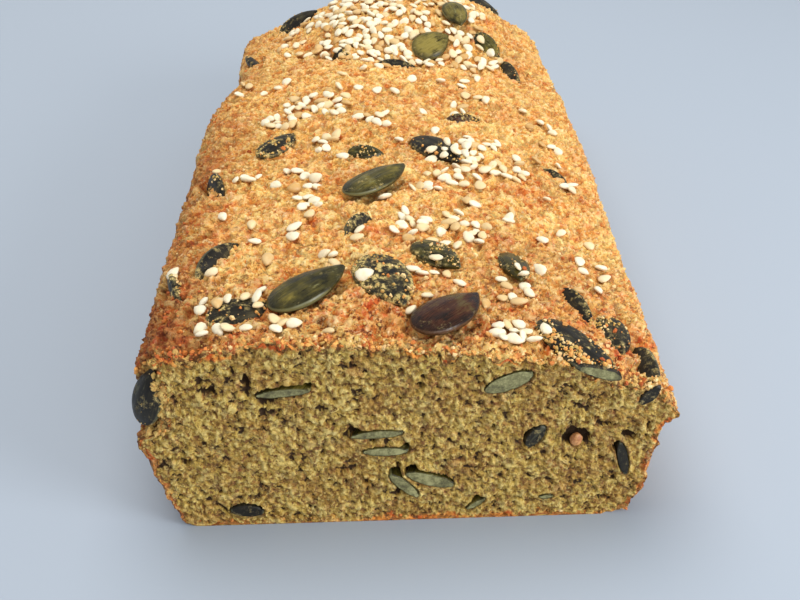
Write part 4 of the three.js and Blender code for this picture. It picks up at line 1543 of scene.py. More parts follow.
@dataclass(frozen=True)
class CrustFinish:
    """Baked crust: golden grains and pale crumbs, browner at the walls, with painted shade in its chinks
    and hollows and on its left side.
    """

    hollow_shade: Rgb = rgb(86, 28, 4)
    deep: Rgb = rgb(182, 82, 16)
    golden: Rgb = rgb(236, 172, 78)
    pale: Rgb = rgb(250, 216, 130)
    cream: Rgb = rgb(254, 234, 182)
    orange: Rgb = rgb(226, 116, 34)
    rust: Rgb = rgb(176, 78, 20)
    olive: Rgb = rgb(190, 158, 86)
    ember: Rgb = rgb(232, 110, 48)
    browned_and_shaded: Rgb = rgb(138, 72, 22)
    crumb: Rgb = rgb(110, 74, 32)
    fresh: Rgb = rgb(222, 186, 104)

    def material(self, grain: Tree) -> Material:
        """Builds the material, from the grains' colours and the painted shade in the hollows to the
        toasting and the painted shade over them.

        Args:
            grain: the fine grain group.

        Returns:
            The material.
        """
        sheet = Dressing("crust", grain, 1500.0, 0.12)
        shade, warm, toast = sheet.fine["Shade"], sheet.reading("warm"), sheet.reading("toast")
        # The level falls with the relief's height (lift), so the hollows are painted darker as shade;
        # toasting lowers it too.
        lowered = sheet.scaled(toast, -0.24, sheet.reading("lift"))
        contrast = sheet.remap(warm, 0.4, 1.0, 1.3, 2.3)
        level = sheet.sums("MULTIPLY_ADD CLAMP", sheet.sums("SUBTRACT", shade, 0.5), contrast, lowered)
        colour = sheet.ramp(level, (
            (0.08, self.hollow_shade), (0.32, self.deep), (0.54, self.golden), (0.76, self.pale),
            (0.96, self.cream)))
        colour = sheet.sorted_by("tint", sheet.remap(warm, 0.4, 1.0, 0.32, 0.48), colour, (
            (0.0, self.cream), (0.13, self.golden), (0.33, self.orange), (0.47, self.pale),
            (0.64, self.golden), (0.78, self.rust), (0.87, self.olive), (0.95, self.cream)))
        colour = sheet.sorted_by("knob", 0.34, colour, (
            (0.0, self.pale), (0.28, self.golden), (0.55, self.orange), (0.7, self.pale),
            (0.9, self.olive)))
        colour = sheet.sorted_by("clump", 0.24, colour, (
            (0.0, self.pale), (0.3, self.golden), (0.52, self.orange), (0.66, self.pale),
            (0.86, self.rust)))
        patches = sheet.remap(sheet.noise(sheet.place(), 0.009, 4.0, 0.6), 0.46, 0.64)
        blotches = sheet.remap(sheet.noise(sheet.place(), 0.0024, 4.0, 0.65), 0.5, 0.62)
        redder = sheet.scaled(patches, 0.35, sheet.times(blotches, 0.62))
        colour = sheet.mix(sheet.times(redder, warm), colour, self.ember, "MULTIPLY")
        # Toasting, with painted shade on the left side, multiplies the colour darker.
        colour = sheet.mix(sheet.times(toast, 0.8), colour, self.browned_and_shaded, "MULTIPLY")
        flecks = sheet.times(sheet.fine["Fleck"], sheet.remap(toast, 0.9, 0.1, 0.08, 0.45))
        colour = sheet.mix(flecks, colour, self.cream)
        # Painted shade in the crevices between the grains, strongest near the cut.
        crevice_shade = sheet.times(sheet.fine["Crevice"], sheet.remap(warm, 0.45, 1.0, 0.2, 1.0))
        colour = sheet.mix(sheet.times(crevice_shade, 0.9), colour, self.hollow_shade)
        # Exposed crumb, painted darker in its hollows as shade.
        crumb = sheet.mix(sheet.remap(level, 0.1, 0.8), self.crumb, self.fresh)
        colour = sheet.mix(sheet.times(sheet.reading("fresh"), 0.85), colour, crumb)
        return sheet.done(colour, sheet.scaled(shade, 0.3, 0.5), sheet.fine["Height"], (0.0005, 0.7), 0.35)


@dataclass(frozen=True)
class CrumbFinish:
    """Olive-yellow crumb of lentils and teff, with painted shade in its pores, hollows and crevices, and
    the crust's browned edge.
    """

    pore_shade: Rgb = rgb(58, 36, 12)
    dark: Rgb = rgb(118, 80, 30)
    body: Rgb = rgb(180, 141, 60)
    light: Rgb = rgb(212, 177, 85)
    pale: Rgb = rgb(248, 224, 142)
    grey: Rgb = rgb(170, 146, 92)
    pink: Rgb = rgb(192, 126, 76)
    brown: Rgb = rgb(112, 68, 30)
    zone: Rgb = rgb(196, 150, 118)
    rim: tuple[Rgb, Rgb, Rgb] = (rgb(206, 82, 26), rgb(240, 150, 62), rgb(226, 180, 98))

    def material(self, grain: Tree) -> Material:
        """Builds the material.

        Args:
            grain: the fine grain group.

        Returns:
            The material.
        """
        sheet = Dressing("crumb", grain, 1700.0, 0.1)
        shade, lift = sheet.fine["Shade"], sheet.reading("lift")
        # The level falls with the relief's height (lift), down to the pore colour: the hollows and pores
        # are painted shade.
        level = sheet.sums("MULTIPLY_ADD CLAMP", sheet.sums("SUBTRACT", shade, 0.5), 1.75, lift)
        colour = sheet.ramp(level, (
            (0.0, self.pore_shade), (0.2, self.dark), (0.46, self.body), (0.74, self.light), (0.98, self.pale)))
        colour = sheet.sorted_by("tint", 0.42, colour, (
            (0.0, self.light), (0.22, self.grey), (0.4, self.body), (0.62, self.light), (0.74, self.pink),
            (0.82, self.pale), (0.92, self.brown)))
        colour = sheet.sorted_by("knob", 0.3, colour, (
            (0.0, self.body), (0.4, self.light), (0.7, self.grey), (0.86, self.pink), (0.94, self.pale)))
        zones = sheet.remap(sheet.noise(sheet.place(), 0.005, 4.0, 0.65), 0.48, 0.62)
        colour = sheet.mix(sheet.times(zones, 0.42), colour, self.zone, "MULTIPLY")
        colour = sheet.mix(sheet.times(sheet.fine["Fleck"], 0.5), colour, self.pale)
        # Painted shade: brown in the crevices between the grains.
        colour = sheet.mix(sheet.times(sheet.fine["Crevice"], 0.85), colour, self.brown)
        # Painted shade: the deepest pores and holes take the pore colour.
        colour = sheet.mix(sheet.remap(lift, 0.14, 0.0), colour, self.pore_shade)
        patches = sheet.noise(sheet.place(), 0.0035, 3.0, 0.6)
        rim = sheet.mix(sheet.remap(patches, 0.38, 0.52), self.rim[0], self.rim[1])
        rim = sheet.mix(sheet.remap(patches, 0.54, 0.6), rim, self.rim[2])
        # Painted shade: the browned edge goes brown in its hollows.
        rim = sheet.mix(sheet.remap(level, 0.5, 0.1), rim, self.brown)
        colour = sheet.mix(sheet.times(sheet.reading("rim"), 0.9), colour, rim)
        return sheet.done(colour, sheet.scaled(shade, 0.3, 0.55), sheet.fine["Height"], (0.0004, 0.7), 0.35)


@dataclass(frozen=True)
class SeedSkinFinish:
    """Skin of a pumpkin seed: veined, mottled and a little glossy, with crumb clinging to it."""

    name: str
    deep: Rgb
    body: Rgb
    glow: Rgb
    edge: Rgb
    roughness: float
    dust_light: Rgb = rgb(216, 190, 120)
    dust_dark: Rgb = rgb(104, 84, 42)
    ripe: Rgb = rgb(140, 124, 58)

    def material(self, grain: Tree) -> Material:
        """Builds the material.

        Args:
            grain: the fine grain group.

        Returns:
            The material.
        """
        sheet = Dressing(self.name, grain, 1500.0, 0.1)
        local, share = sheet.reading("seed_place", "Vector"), sheet.reading("rim")
        shade = sheet.fine["Shade"]
        veins = sheet.drawn_out(local, 0.0005, 0.1, 4.0, 0.6)
        level = sheet.scaled(veins, 0.35, sheet.times(sheet.noise(local, 0.0045, 4.0, 0.6), 0.65))
        colour = sheet.ramp(level, ((0.4, self.deep), (0.54, self.body), (0.66, self.glow)))
        ripeness = sheet.times(sheet.reading("bright"), sheet.remap(level, 0.34, 0.56))
        colour = sheet.mix(sheet.times(ripeness, 0.8), colour, self.ripe)
        wisps = sheet.remap(sheet.drawn_out(local, 0.0004, 0.2, 2.0, 0.5), 0.6, 0.68)
        patchy = sheet.times(sheet.remap(sheet.noise(local, 0.003), 0.46, 0.6), 0.6)
        colour = sheet.mix(sheet.times(wisps, patchy), colour, self.edge)
        colour = sheet.mix(sheet.times(sheet.remap(share, 0.7, 0.95), 0.6), colour, self.deep)
        colour = sheet.mix(sheet.times(sheet.remap(share, 0.965, 0.995), 0.6), colour, self.edge)
        clumps = sheet.noise(sheet.place(), 0.0026, 6.0, 0.7)
        reach = sheet.scaled(shade, 0.3, sheet.scaled(sheet.reading("dust"), 0.34, clumps))
        film = sheet.times(sheet.remap(reach, 0.8, 1.0), 0.45)
        dust = sheet.scaled(sheet.remap(reach, 0.95, 1.0), 0.45, film)
        crumbs = sheet.mix(sheet.remap(shade, 0.3, 0.65), self.dust_dark, self.dust_light)
        gloss = sheet.scaled(veins, 0.3, self.roughness - 0.14)
        rough = sheet.sums("MAXIMUM", gloss, sheet.times(dust, 0.85))
        height = sheet.scaled(veins, 0.16, sheet.times(dust, 0.6))
        height = sheet.scaled(sheet.times(dust, sheet.fine["Height"]), 0.9, height)
        return sheet.done(sheet.mix(dust, colour, crumbs), rough, height, (0.0005, 0.6), 0.34)


SEED_SKINS = (
    SeedSkinFinish("seed_olive", rgb(32, 29, 9), rgb(72, 64, 22), rgb(118, 103, 40), rgb(128, 126, 84),
                   0.3),
    SeedSkinFinish("seed_dark", rgb(17, 13, 8), rgb(36, 31, 20), rgb(72, 64, 40), rgb(92, 90, 66), 0.46),
    SeedSkinFinish("seed_brown", rgb(24, 12, 4), rgb(62, 30, 12), rgb(84, 70, 34), rgb(98, 64, 36), 0.27),
)


@dataclass(frozen=True)
class SeedFleshFinish:
    """Sliced kernel of a pumpkin seed: pale grey-green with a fine grain."""

    light: Rgb = rgb(164, 158, 108)
    body: Rgb = rgb(124, 119, 76)
    dark: Rgb = rgb(76, 70, 42)

    def material(self, grain: Tree) -> Material:
        """Builds the material.

        Args:
            grain: the fine grain group.

        Returns:
            The material.
        """
        sheet = Dressing("seed_flesh", grain, 2600.0, 0.04)
        broad = sheet.noise(sheet.place(), 0.0022, 3.0, 0.6)
        level = sheet.scaled(broad, 0.7, sheet.times(sheet.fine["Shade"], 0.3))
        colour = sheet.ramp(level, ((0.32, self.dark), (0.5, self.body), (0.66, self.light)))
        return sheet.done(colour, sheet.scaled(broad, 0.2, 0.4), level, (0.0002, 0.5))


@dataclass(frozen=True)
class LentilFinish:
    """Skin of a cooked lentil: reddish brown, mottled and faintly moist."""

    body: Rgb = rgb(168, 104, 58)
    light: Rgb = rgb(206, 148, 92)

    def material(self) -> Material:
        """Builds the material.

        Returns:
            The material.
        """
        sheet = Dressing("lentil")
        mottle = sheet.noise(sheet.place(), 0.0009, 4.0, 0.6)
        colour = sheet.mix(sheet.remap(mottle, 0.4, 0.62), self.body, self.light)
        return sheet.done(colour, sheet.scaled(mottle, 0.3, 0.3), mottle, (0.0002, 0.5))


@dataclass(frozen=True)
class SesameFinish:
    """Hulled sesame: ivory, a few toasted, with a soft sheen."""

    ivory: Rgb = rgb(236, 224, 194)
    cream: Rgb = rgb(224, 198, 148)
    tan: Rgb = rgb(200, 156, 92)

    def material(self) -> Material:
        """Builds the material.

        Returns:
            The material.
        """
        sheet = Dressing("sesame")
        stops = ((0.0, self.ivory), (0.6, self.ivory), (0.84, self.cream), (1.0, self.tan))
        cloud = sheet.noise(sheet.place(), 0.0012)
        clouded = sheet.remap(cloud, 0.45, 0.7, 0.0, 0.35)
        colour = sheet.mix(clouded, sheet.ramp(sheet.reading("tint"), stops), self.cream)
        height = sheet.noise(sheet.place(), 0.0006)
        return sheet.done(colour, sheet.scaled(cloud, 0.2, 0.34), height, (0.0001, 0.4))


@dataclass(frozen=True)
class LooseCrumbFinish:
    """Crumbs that stick to the crust and the seeds."""

    cream: Rgb = rgb(246, 216, 152)
    golden: Rgb = rgb(234, 172, 90)
    orange: Rgb = rgb(222, 136, 62)
    olive: Rgb = rgb(210, 176, 98)
    rust: Rgb = rgb(192, 102, 44)
    shadow: Rgb = rgb(206, 140, 76)

    def material(self, grain: Tree) -> Material:
        """Builds the material.

        Args:
            grain: the fine grain group.

        Returns:
            The material.
        """
        sheet = Dressing("loose_crumb", grain, 2200.0, 0.1)
        kinds = ((0.0, self.cream), (0.2, self.golden), (0.5, self.olive), (0.7, self.golden),
                 (0.86, self.orange), (0.94, self.rust))
        shade = sheet.remap(sheet.fine["Shade"], 0.25, 0.7)
        colour = sheet.ramp(sheet.reading("tint"), kinds, hard=True)
        colour = sheet.mix(sheet.scaled(shade, -0.45, 0.45), colour, self.shadow, "MULTIPLY")
        return sheet.done(colour, sheet.scaled(shade, 0.2, 0.5), sheet.fine["Height"], (0.0003, 0.5))


# Seeds as pieces


@dataclass
class SeedCrop:
    """All pumpkin seeds as detailed pieces, each in place of its node."""

    seeds: list[PumpkinSeed]
    work: WorkFrame
    knife_y: float = 0.02
    skin_thickness: float = 0.13

    def build(self, skins: dict[Skin, Material], flesh: Material) -> None:
        """Builds and dresses every seed.

        Args:
            skins: material of each skin.
            flesh: material of sliced kernels.
        """
        for seed in self.seeds:
            piece = self.seed_piece(seed)
            inside = Skin.OLIVE if seed.pale else Skin.DARK
            skin = skins[inside if seed.skin is Skin.CUT else seed.skin]
            piece.data.materials.append(skin)
            if seed.placed(seed.shell()[0])[:, 1].min() < 0:
                self.slice_off(piece, flesh, seed.pale)
            finish_piece(piece, skin, seed.skin.value, seed.name)

    def seed_piece(self, seed: PumpkinSeed) -> Piece:
        """The whole seed as a mesh, with what its skin reads as attributes.

        Args:
            seed: the seed.

        Returns:
            The piece.
        """
        local, quads, tris = seed.shell()
        share = seed.share(local)
        apart = 0.01 * (sum(map(ord, seed.name)) % 17)
        dusty = seed.dust + 0.3 * smooth(0.55, 1.0, share) * (0.4 + seed.dust)
        values = {"seed_place": local * MM + (apart, 0, 0), "rim": share, "dust": np.clip(dusty, 0, 1),
                  "bright": np.full(len(share), seed.bright)}
        return make_piece(f"{seed.name}_seed", self.work.inside(seed.placed(local)), [quads, tris], values)

    def slice_off(self, piece: Piece, flesh: Material, pale: bool) -> None:
        """Cuts a seed along the knife's plane and dresses the section.

        Args:
            piece: the seed.
            flesh: material of the section.
            pale: whether the pale kernel shows, and not dark skin.
        """
        piece.data.materials.append(flesh)
        mesh = bmesh.new()
        mesh.from_mesh(piece.data)
        plane_y = self.work.to_row([0.0, self.knife_y, 0.0])[1]
        parts = [*mesh.verts, *mesh.edges, *mesh.faces]
        cut = bmesh.ops.bisect_plane(mesh, geom=parts, plane_co=(0, plane_y, 0), plane_no=(0, -1, 0),
                                     clear_outer=True)
        edges = [item for item in cut["geom_cut"] if isinstance(item, bmesh.types.BMEdge)]
        filled = bmesh.ops.contextual_create(mesh, geom=edges)["faces"]
        bmesh.ops.recalc_face_normals(mesh, faces=mesh.faces)
        ring = bmesh.ops.inset_region(mesh, faces=filled, thickness=self.skin_thickness * MM,
                                      use_even_offset=True)["faces"]
        for face in [*filled, *ring]:
            face.smooth = False
        for face in filled:
            face.material_index = 1 if pale else 0
        bmesh.ops.triangulate(mesh, faces=filled)
        mesh.to_mesh(piece.data)
        mesh.free()


# Scattered things by Geometry Nodes


@dataclass(frozen=True)
class ScatterPlaces:
    """Where scattered things lie: places, turns, sizes and tints, in the loaf's frame."""

    places: Array
    turns: Array
    sizes: Array
    tints: Array


@dataclass
class Scatter:
    """Copies of a few shapes set on points by a Geometry Nodes tree and made one mesh."""

    name: str
    shapes: list[Piece]
    work: WorkFrame
    seed: int
    rounded: bool = True

    def build(self, where: ScatterPlaces, material: Material) -> Piece:
        """Builds the piece.

        Args:
            where: the places.
            material: its material.

        Returns:
            The finished mesh object.
        """
        holder = make_piece(f"{self.name}_points", self.work.to_row(where.places), [],
                            {"facing": where.turns, "extent": where.sizes * MM, "tint": where.tints})
        modifier = holder.modifiers.new("scatter", "NODES")
        modifier.node_group = tree = self.tree(material)
        for item in tree.interface.items_tree:
            if item.in_out == "INPUT" and item.name != "Geometry":
                modifier[item.identifier] = {"Size": 1.0, "Draw": self.seed}[item.name]
        graph = bpy.context.evaluated_depsgraph_get()
        mesh = bpy.data.meshes.new_from_object(holder.evaluated_get(graph), depsgraph=graph)
        mesh.name = self.name
        places = np.empty((len(mesh.vertices), 3), np.float32)
        mesh.vertices.foreach_get("co", places.ravel())
        places = np.clip(places, CAD_BOX[0], CAD_BOX[1]).astype(np.float32)
        mesh.vertices.foreach_set("co", places.ravel())
        for used in (holder, *self.shapes):
            bpy.data.objects.remove(used)
        return link_object(self.name, mesh)

    def tree(self, material: Material) -> Tree:
        """The tree: instances on points, turned and sized by attributes, realized and dressed.

        Args:
            material: what it sets.

        Returns:
            The tree.
        """
        tree = bpy.data.node_groups.new(self.name, "GeometryNodeTree")
        for label, kind in (("Geometry", "Geometry"), ("Size", "Float"), ("Draw", "Int")):
            tree.interface.new_socket(label, in_out="INPUT", socket_type=f"NodeSocket{kind}")
        tree.interface.new_socket("Geometry", in_out="OUTPUT", socket_type="NodeSocketGeometry")
        sheet = Sheet(tree)
        start, end = sheet.put("NodeGroupInput").outputs, sheet.put("NodeGroupOutput").inputs
        pool = sheet.put("GeometryNodeGeometryToInstance")
        for shape in self.shapes:
            info = sheet.put("GeometryNodeObjectInfo", {"Object": shape}, transform_space="ORIGINAL")
            sheet.feed(pool.inputs[0], info.outputs["Geometry"])
        facing, extent = (
            sheet.put("GeometryNodeInputNamedAttribute", {"Name": name}, data_type="FLOAT_VECTOR")
            for name in ("facing", "extent"))
        turned = sheet.put("FunctionNodeEulerToRotation", {"Euler": facing.outputs["Attribute"]})
        inputs = {0: extent.outputs["Attribute"], "Scale": start["Size"]}
        sized = sheet.put("ShaderNodeVectorMath", inputs, operation="SCALE")
        pick = sheet.put("FunctionNodeRandomValue", data_type="INT")
        limits = {"Min": 0, "Max": len(self.shapes) - 1, "Seed": start["Draw"]}
        for socket in pick.inputs:
            if socket.enabled and socket.name in limits:
                sheet.feed(socket, limits[socket.name])
        index = next(socket for socket in pick.outputs if socket.enabled)
        copies = sheet.put("GeometryNodeInstanceOnPoints", {
            "Points": start["Geometry"], "Instance": pool.outputs[0], "Instance Index": index,
            "Rotation": turned.outputs[0], "Scale": sized.outputs[0], "Pick Instance": True})
        real = sheet.put("GeometryNodeRealizeInstances", {"Geometry": copies.outputs["Instances"]})
        inputs = {"Geometry": real.outputs["Geometry"], "Shade Smooth": self.rounded}
        even = sheet.put("GeometryNodeSetShadeSmooth", inputs)
        inputs = {"Geometry": even.outputs["Geometry"], "Material": material}
        dressed = sheet.put("GeometryNodeSetMaterial", inputs)
        sheet.feed(end["Geometry"], dressed.outputs["Geometry"])
        return tree


def sesame_shape(index: int) -> Piece:
    """A sesame seed of length, width and thickness 1: a flat teardrop, pointed at +X.

    Args:
        index: which of the shapes.

    Returns:
        The object.
    """
    sides, rings = 10, 3
    draw = np.random.default_rng(70 + index)
    angles = round_steps(sides)
    shares = np.sin(np.linspace(0, math.pi / 2, rings + 1))[1:]
    pointed = 0.30 + 0.12 * draw.random()
    width = 0.5 * np.sin(angles) * (1 - pointed * np.cos(angles)) * 1.02
    whole = dome(shares, 0.5 * np.cos(angles), width, 0.5 * np.sqrt(np.maximum(0, 1 - shares ** 2)))
    above, below = whole[:-1].copy(), whole[:-1] * (1, 1, -0.8)
    above[..., 2] += 0.05 * draw.normal(size=above.shape[:2])
    vertices, quads, tris = closed_shell(above, below, whole[-1], 0.5, -0.4)
    return make_piece(f"sesame_shape_{index}", vertices, [quads, tris])


def crumb_shape(index: int) -> Piece:
    """A lumpy crumb about 1 across.

    Args:
        index: which of the shapes.

    Returns:
        The object.
    """
    ball = bmesh.new()
    bmesh.ops.create_icosphere(ball, subdivisions=1, radius=0.5)
    base = np.array([v.co for v in ball.verts])
    bulge = soft_noise(base * 3 + index * 7.7, 1.0)
    jags = np.random.default_rng(90 + index).uniform(-0.3, 0.3, len(base))
    for vertex, wide, jag in zip(ball.verts, bulge, jags):
        vertex.co *= 0.75 + 0.5 * wide + jag
    mesh = bpy.data.meshes.new(f"crumb_shape_{index}")
    ball.to_mesh(mesh)
    ball.free()
    return link_object(mesh.name, mesh)


@dataclass(frozen=True)
class SesameField:
    """A patch of sesame: its middle, half its reach across and along, and how many seeds."""

    u: float
    y: float
    across: float = 0.4
    along: float = 0.4
    count: int = 1


SESAME_FIELDS = tuple(SesameField(*row) for row in (
    (0.315, 68, 4, 3, 4), (0.4, 52, 3, 6.5, 7), (0.352, 16, 2, 4, 4), (0.372, 6.5, 5, 1.6, 5),
    (0.309, 15, 3, 2.2, 5), (0.313, 6.5, 3.6, 1.4, 4), (0.43, 4.5, 0.5, 0.5, 1),
    (0.428, 29.6, 2.5, 2.5, 3), (0.256, 26.8, 0.6, 2.4, 2), (0.56, 43.4, 12, 8, 29),
    (0.544, 26.4, 4.5, 3, 5), (0.634, 23.4, 4.3, 6, 9), (0.629, 8.3, 5, 3, 11),
    (0.591, 76.5, 8.5, 5.5, 16), (0.58, 66.8, 7.5, 4, 10), (0.542, 60.6, 4, 2.2, 5),
    (0.595, 56, 2, 0.8, 3), (0.644, 52.4, 1.2, 3.4, 3), (0.462, 37.8, 0.8, 2.7, 3),
    (0.488, 55.5, 0.8, 1.5, 2), (0.735, 74, 2, 2.5, 3), (0.606, 90, 1, 2.5, 2), (0.561, 92, 1, 0.6, 2),
    (0.67, 78, 1.5, 5.5, 4), (0.4, 106, 9, 9, 27), (0.355, 97, 6, 4, 10), (0.475, 96, 5, 6, 8),
    (0.42, 85, 4, 5, 6), (0.385, 64, 6, 8, 7), (0.604, 82, 2, 9, 11), (0.628, 86, 4, 2, 4),
    (0.655, 74, 4, 6, 6), (0.42, 164, 14, 14, 24), (0.36, 160, 12, 15, 24), (0.52, 112, 26, 10, 12),
    (0.72, 104, 8, 14, 8), (0.3, 120, 8, 10, 6), (0.51, 163, 26, 16, 118), (0.56, 148, 22, 8, 48),
    (0.44, 150, 14, 10, 24), (0.52, 130, 24, 7, 10), (0.5, 181, 24, 8, 34), (0.72, 40, 7, 18, 5),
))
SINGLE_SESAME = tuple(SesameField(*row) for row in (
    (0.334, 96), (0.272, 73), (0.379, 69), (0.296, 50), (0.384, 43), (0.335, 45), (0.384, 38),
    (0.403, 80), (0.34, 38), (0.358, 31), (0.299, 27), (0.468, 20), (0.57, 23), (0.534, 17),
    (0.484, 14), (0.514, 11.5), (0.599, 17), (0.541, 2), (0.667, 32), (0.71, 27), (0.739, 30),
    (0.747, 49), (0.682, 45), (0.508, 84), (0.645, 89), (0.699, 83.5), (0.73, 85), (0.702, 51),
    (0.435, 75), (0.697, 64),
))

Drop = tuple[Array, Array, Array, float]


@dataclass(frozen=True)
class Clinging:
    """How crumbs cling to a seed: tries for full dust, their size and how common each tint is."""

    tries: int
    least: float
    spread: float
    shares: tuple[float, float, float, float]
    tints: tuple[float, float, float, float] = (0.1, 0.3, 0.6, 0.9)


CLINGING = Clinging(420, 0.2, 0.65, (0.42, 0.08, 0.49, 0.01))
CLINGING_BY_THE_CUT = Clinging(2400, 0.35, 0.8, (0.32, 0.26, 0.4, 0.02))


@dataclass
class Toppings:
    """Sesame strewn over the crust, and crumbs that stick to the crust and the seeds.

    A thing comes to rest on a seed that faces outwards by more than level and has more dust than
    clean, within the share of its reach called hold; from beside outwards it lies next to it.
    """

    surface: CrustSurface
    draw: np.random.Generator
    sesame_size: Triple = (3.15, 2.15, 1.2)
    sesame_apart: float = 1.75
    sesame_tip: float = 22.0
    sesame_tries: int = 14
    crumb_tip: float = 50.0
    level: float = 0.75
    clean: float = 0.15
    hold: float = 0.92
    beside: float = 1.12
    reach_along: Pair = (1.4, 192.0)

    def resting(self, u: float, y: float, grid: Array) -> tuple[Array, Array] | None:
        """Where a small thing comes to rest.

        Args:
            u: the way round the crust.
            y: the way along it.
            grid: the crust's places that it lies on.

        Returns:
            Its resting place and the direction outwards, or None where it would fall off a seed.
        """
        place, out = self.surface.at(u, y, grid), unit(self.surface.at(u, y, self.surface.out))
        for seed in self.surface.seeds:
            if np.abs(place - seed.origin).max() > seed.size[0] * 0.7:
                continue
            local = seed.local(place)
            share = float(seed.share(local))
            if share > self.beside:
                continue
            facing = out @ seed.turn[:, 2]
            side = float(np.sign(facing))
            top = float(seed.half_thickness(np.array(min(share, 0.97))))
            if abs(facing) < self.level or local[2] * side > top:
                continue
            if seed.dust < self.clean or share > self.hold:
                return None
            local[2] = side * top
            return seed.placed(local), seed.turn[:, 2] * side
        return place, out

    def turned(self, out: Array, tip: float) -> Array:
        """A random turn about the direction outwards.

        Args:
            out: the direction outwards.
            tip: about how far it is tipped, in degrees.

        Returns:
            The turn as Euler angles.
        """
        heading = self.draw.uniform(0, FULL_TURN)
        long = unit(np.cross(out, (math.cos(heading), math.sin(heading), 0.3)))
        basis = np.stack([long, np.cross(out, long), out], -1)
        tilt = turn_about(0, self.draw.normal(0, tip)) @ turn_about(1, self.draw.normal(0, tip * 0.7))
        return np.array(Matrix(basis @ tilt).to_euler("XYZ"))

    def sesame(self) -> ScatterPlaces:
        """Sesame over its fields, spaced so that seeds touch but don't merge.

        Returns:
            Their places.
        """
        drops: list[Drop] = []
        for spot in (*SESAME_FIELDS, *SINGLE_SESAME):
            round_length = self.surface.form.outline(float(round(spot.y))).length
            placed = tries = 0
            while placed < spot.count and tries < spot.count * self.sesame_tries:
                tries += 1
                angle, share = self.draw.uniform(0, FULL_TURN), math.sqrt(self.draw.uniform())
                u = spot.u + spot.across * share * math.cos(angle) / round_length
                y = spot.y + spot.along * share * math.sin(angle)
                if not self.reach_along[0] < y < self.reach_along[1]:
                    continue
                found = self.resting(u, y, self.surface.bed)
                if found is None:
                    continue
                place, out = found
                size = np.array(self.sesame_size) * self.draw.normal(1, 0.09) * self.draw.normal(1, 0.06, 3)
                place = place + out * (size[2] * self.draw.uniform(0.2, 0.55))
                apart = [drop[0] - place for drop in drops]
                if drops and np.linalg.norm(apart, axis=1).min() < self.sesame_apart:
                    continue
                turn = self.turned(out, self.sesame_tip)
                tint = min(1.0, self.draw.uniform() + 0.12 * float(smooth(60, 140, y)))
                drops.append((place, turn, size, tint))
                placed += 1
        return ScatterPlaces(*(np.array(part) for part in zip(*drops)))

    def crumbs(self, crown: int = 2600, edge: int = 600, torn: int = 260, foot: int = 150) -> ScatterPlaces:
        """Crumbs that stick to the loaf.

        Args:
            crown: how many are tried over the crust.
            edge: how many are tried along the cut edge.
            torn: how many lie where the crust broke away.
            foot: how many lie along the cut face's foot.

        Returns:
            Their places.
        """
        over = [(self.draw.uniform(0.24, 0.8), 190 * self.draw.uniform() ** 1.35) for _ in range(crown)]
        over += [(self.draw.uniform(0.2, 0.8), 2.6 * self.draw.uniform() ** 1.5 - 0.5) for _ in range(edge)]
        drops = [drop for u, y in over for drop in self.on_crust(u, y)]
        for seed in self.surface.seeds:
            if seed.skin is not Skin.CUT and seed.dust >= 0.2:
                drops += self.on_seed(seed)
            if seed.open:
                drops += self.heaped_on(seed)
        drops += self.on_torn_crust(torn)
        drops += self.at_foot(foot)
        places, turns, sizes, tints = (np.array(part) for part in zip(*drops))
        room = 0.8
        places = np.clip(places, self.surface.box[0] + room, self.surface.box[1] - room)
        return ScatterPlaces(places, turns, sizes, tints)

    def crumb_size(self, least: float, spread: float) -> Array:
        """Width, depth and height of a crumb; small ones are the most common."""
        return (least + spread * self.draw.uniform() ** 2) * self.draw.uniform(0.6, 1.1, 3)

    def on_crust(self, u: float, y: float) -> list[Drop]:
        """A crumb on the crust.

        Args:
            u: the way round the crust.
            y: the way along it.

        Returns:
            One crumb, or none where it would fall off a seed.
        """
        y += 0.6
        found = self.resting(u, y, self.surface.places)
        if found is None:
            return []
        place, out = found
        toast = self.surface.at(u, y, self.surface.values["toast"])
        tint = self.draw.uniform(*((0.87, 1.0) if toast > self.draw.uniform(0.1, 0.9) else (0.0, 0.88)))
        return [(place + out * 0.08, self.turned(out, self.crumb_tip), self.crumb_size(0.3, 1.0), tint)]

    def on_seed(self, seed: PumpkinSeed) -> list[Drop]:
        """Crumbs that cling in clusters to a seed, most along its rim.

        Args:
            seed: the seed.

        Returns:
            The crumbs.
        """
        drops = []
        half = np.array(seed.size) / 2
        side = 1.0 if seed.turn[2, 2] >= 0 else -1.0
        by_the_cut = seed.origin[1] < half[0] and not seed.open
        habit = CLINGING_BY_THE_CUT if by_the_cut else CLINGING
        for _ in range(int(habit.tries * seed.dust)):
            angle, share = self.draw.uniform(0, FULL_TURN), math.sqrt(self.draw.uniform())
            x = half[0] * share * math.cos(angle)
            y = half[1] * share * math.sin(angle) * (1 - seed.taper * math.cos(angle))
            clinging = soft_noise(seed.origin + (x, y, 0.0), 2.6) + 0.35 * smooth(0.75, 1.0, share)
            place = seed.on_face(x, y, share, side)
            if by_the_cut:
                clinging += 0.75 * smooth(0.3, 2.2, (seed.origin - place) @ (0.7, 0.7, 0.0)) - 0.35
            if clinging < 0.78 - 0.4 * seed.dust:
                continue
            tint = self.draw.choice(habit.tints, p=habit.shares)
            turn = self.turned(seed.turn[:, 2] * side, self.crumb_tip)
            drops.append((place, turn, self.crumb_size(habit.least, habit.spread), tint))
        return drops

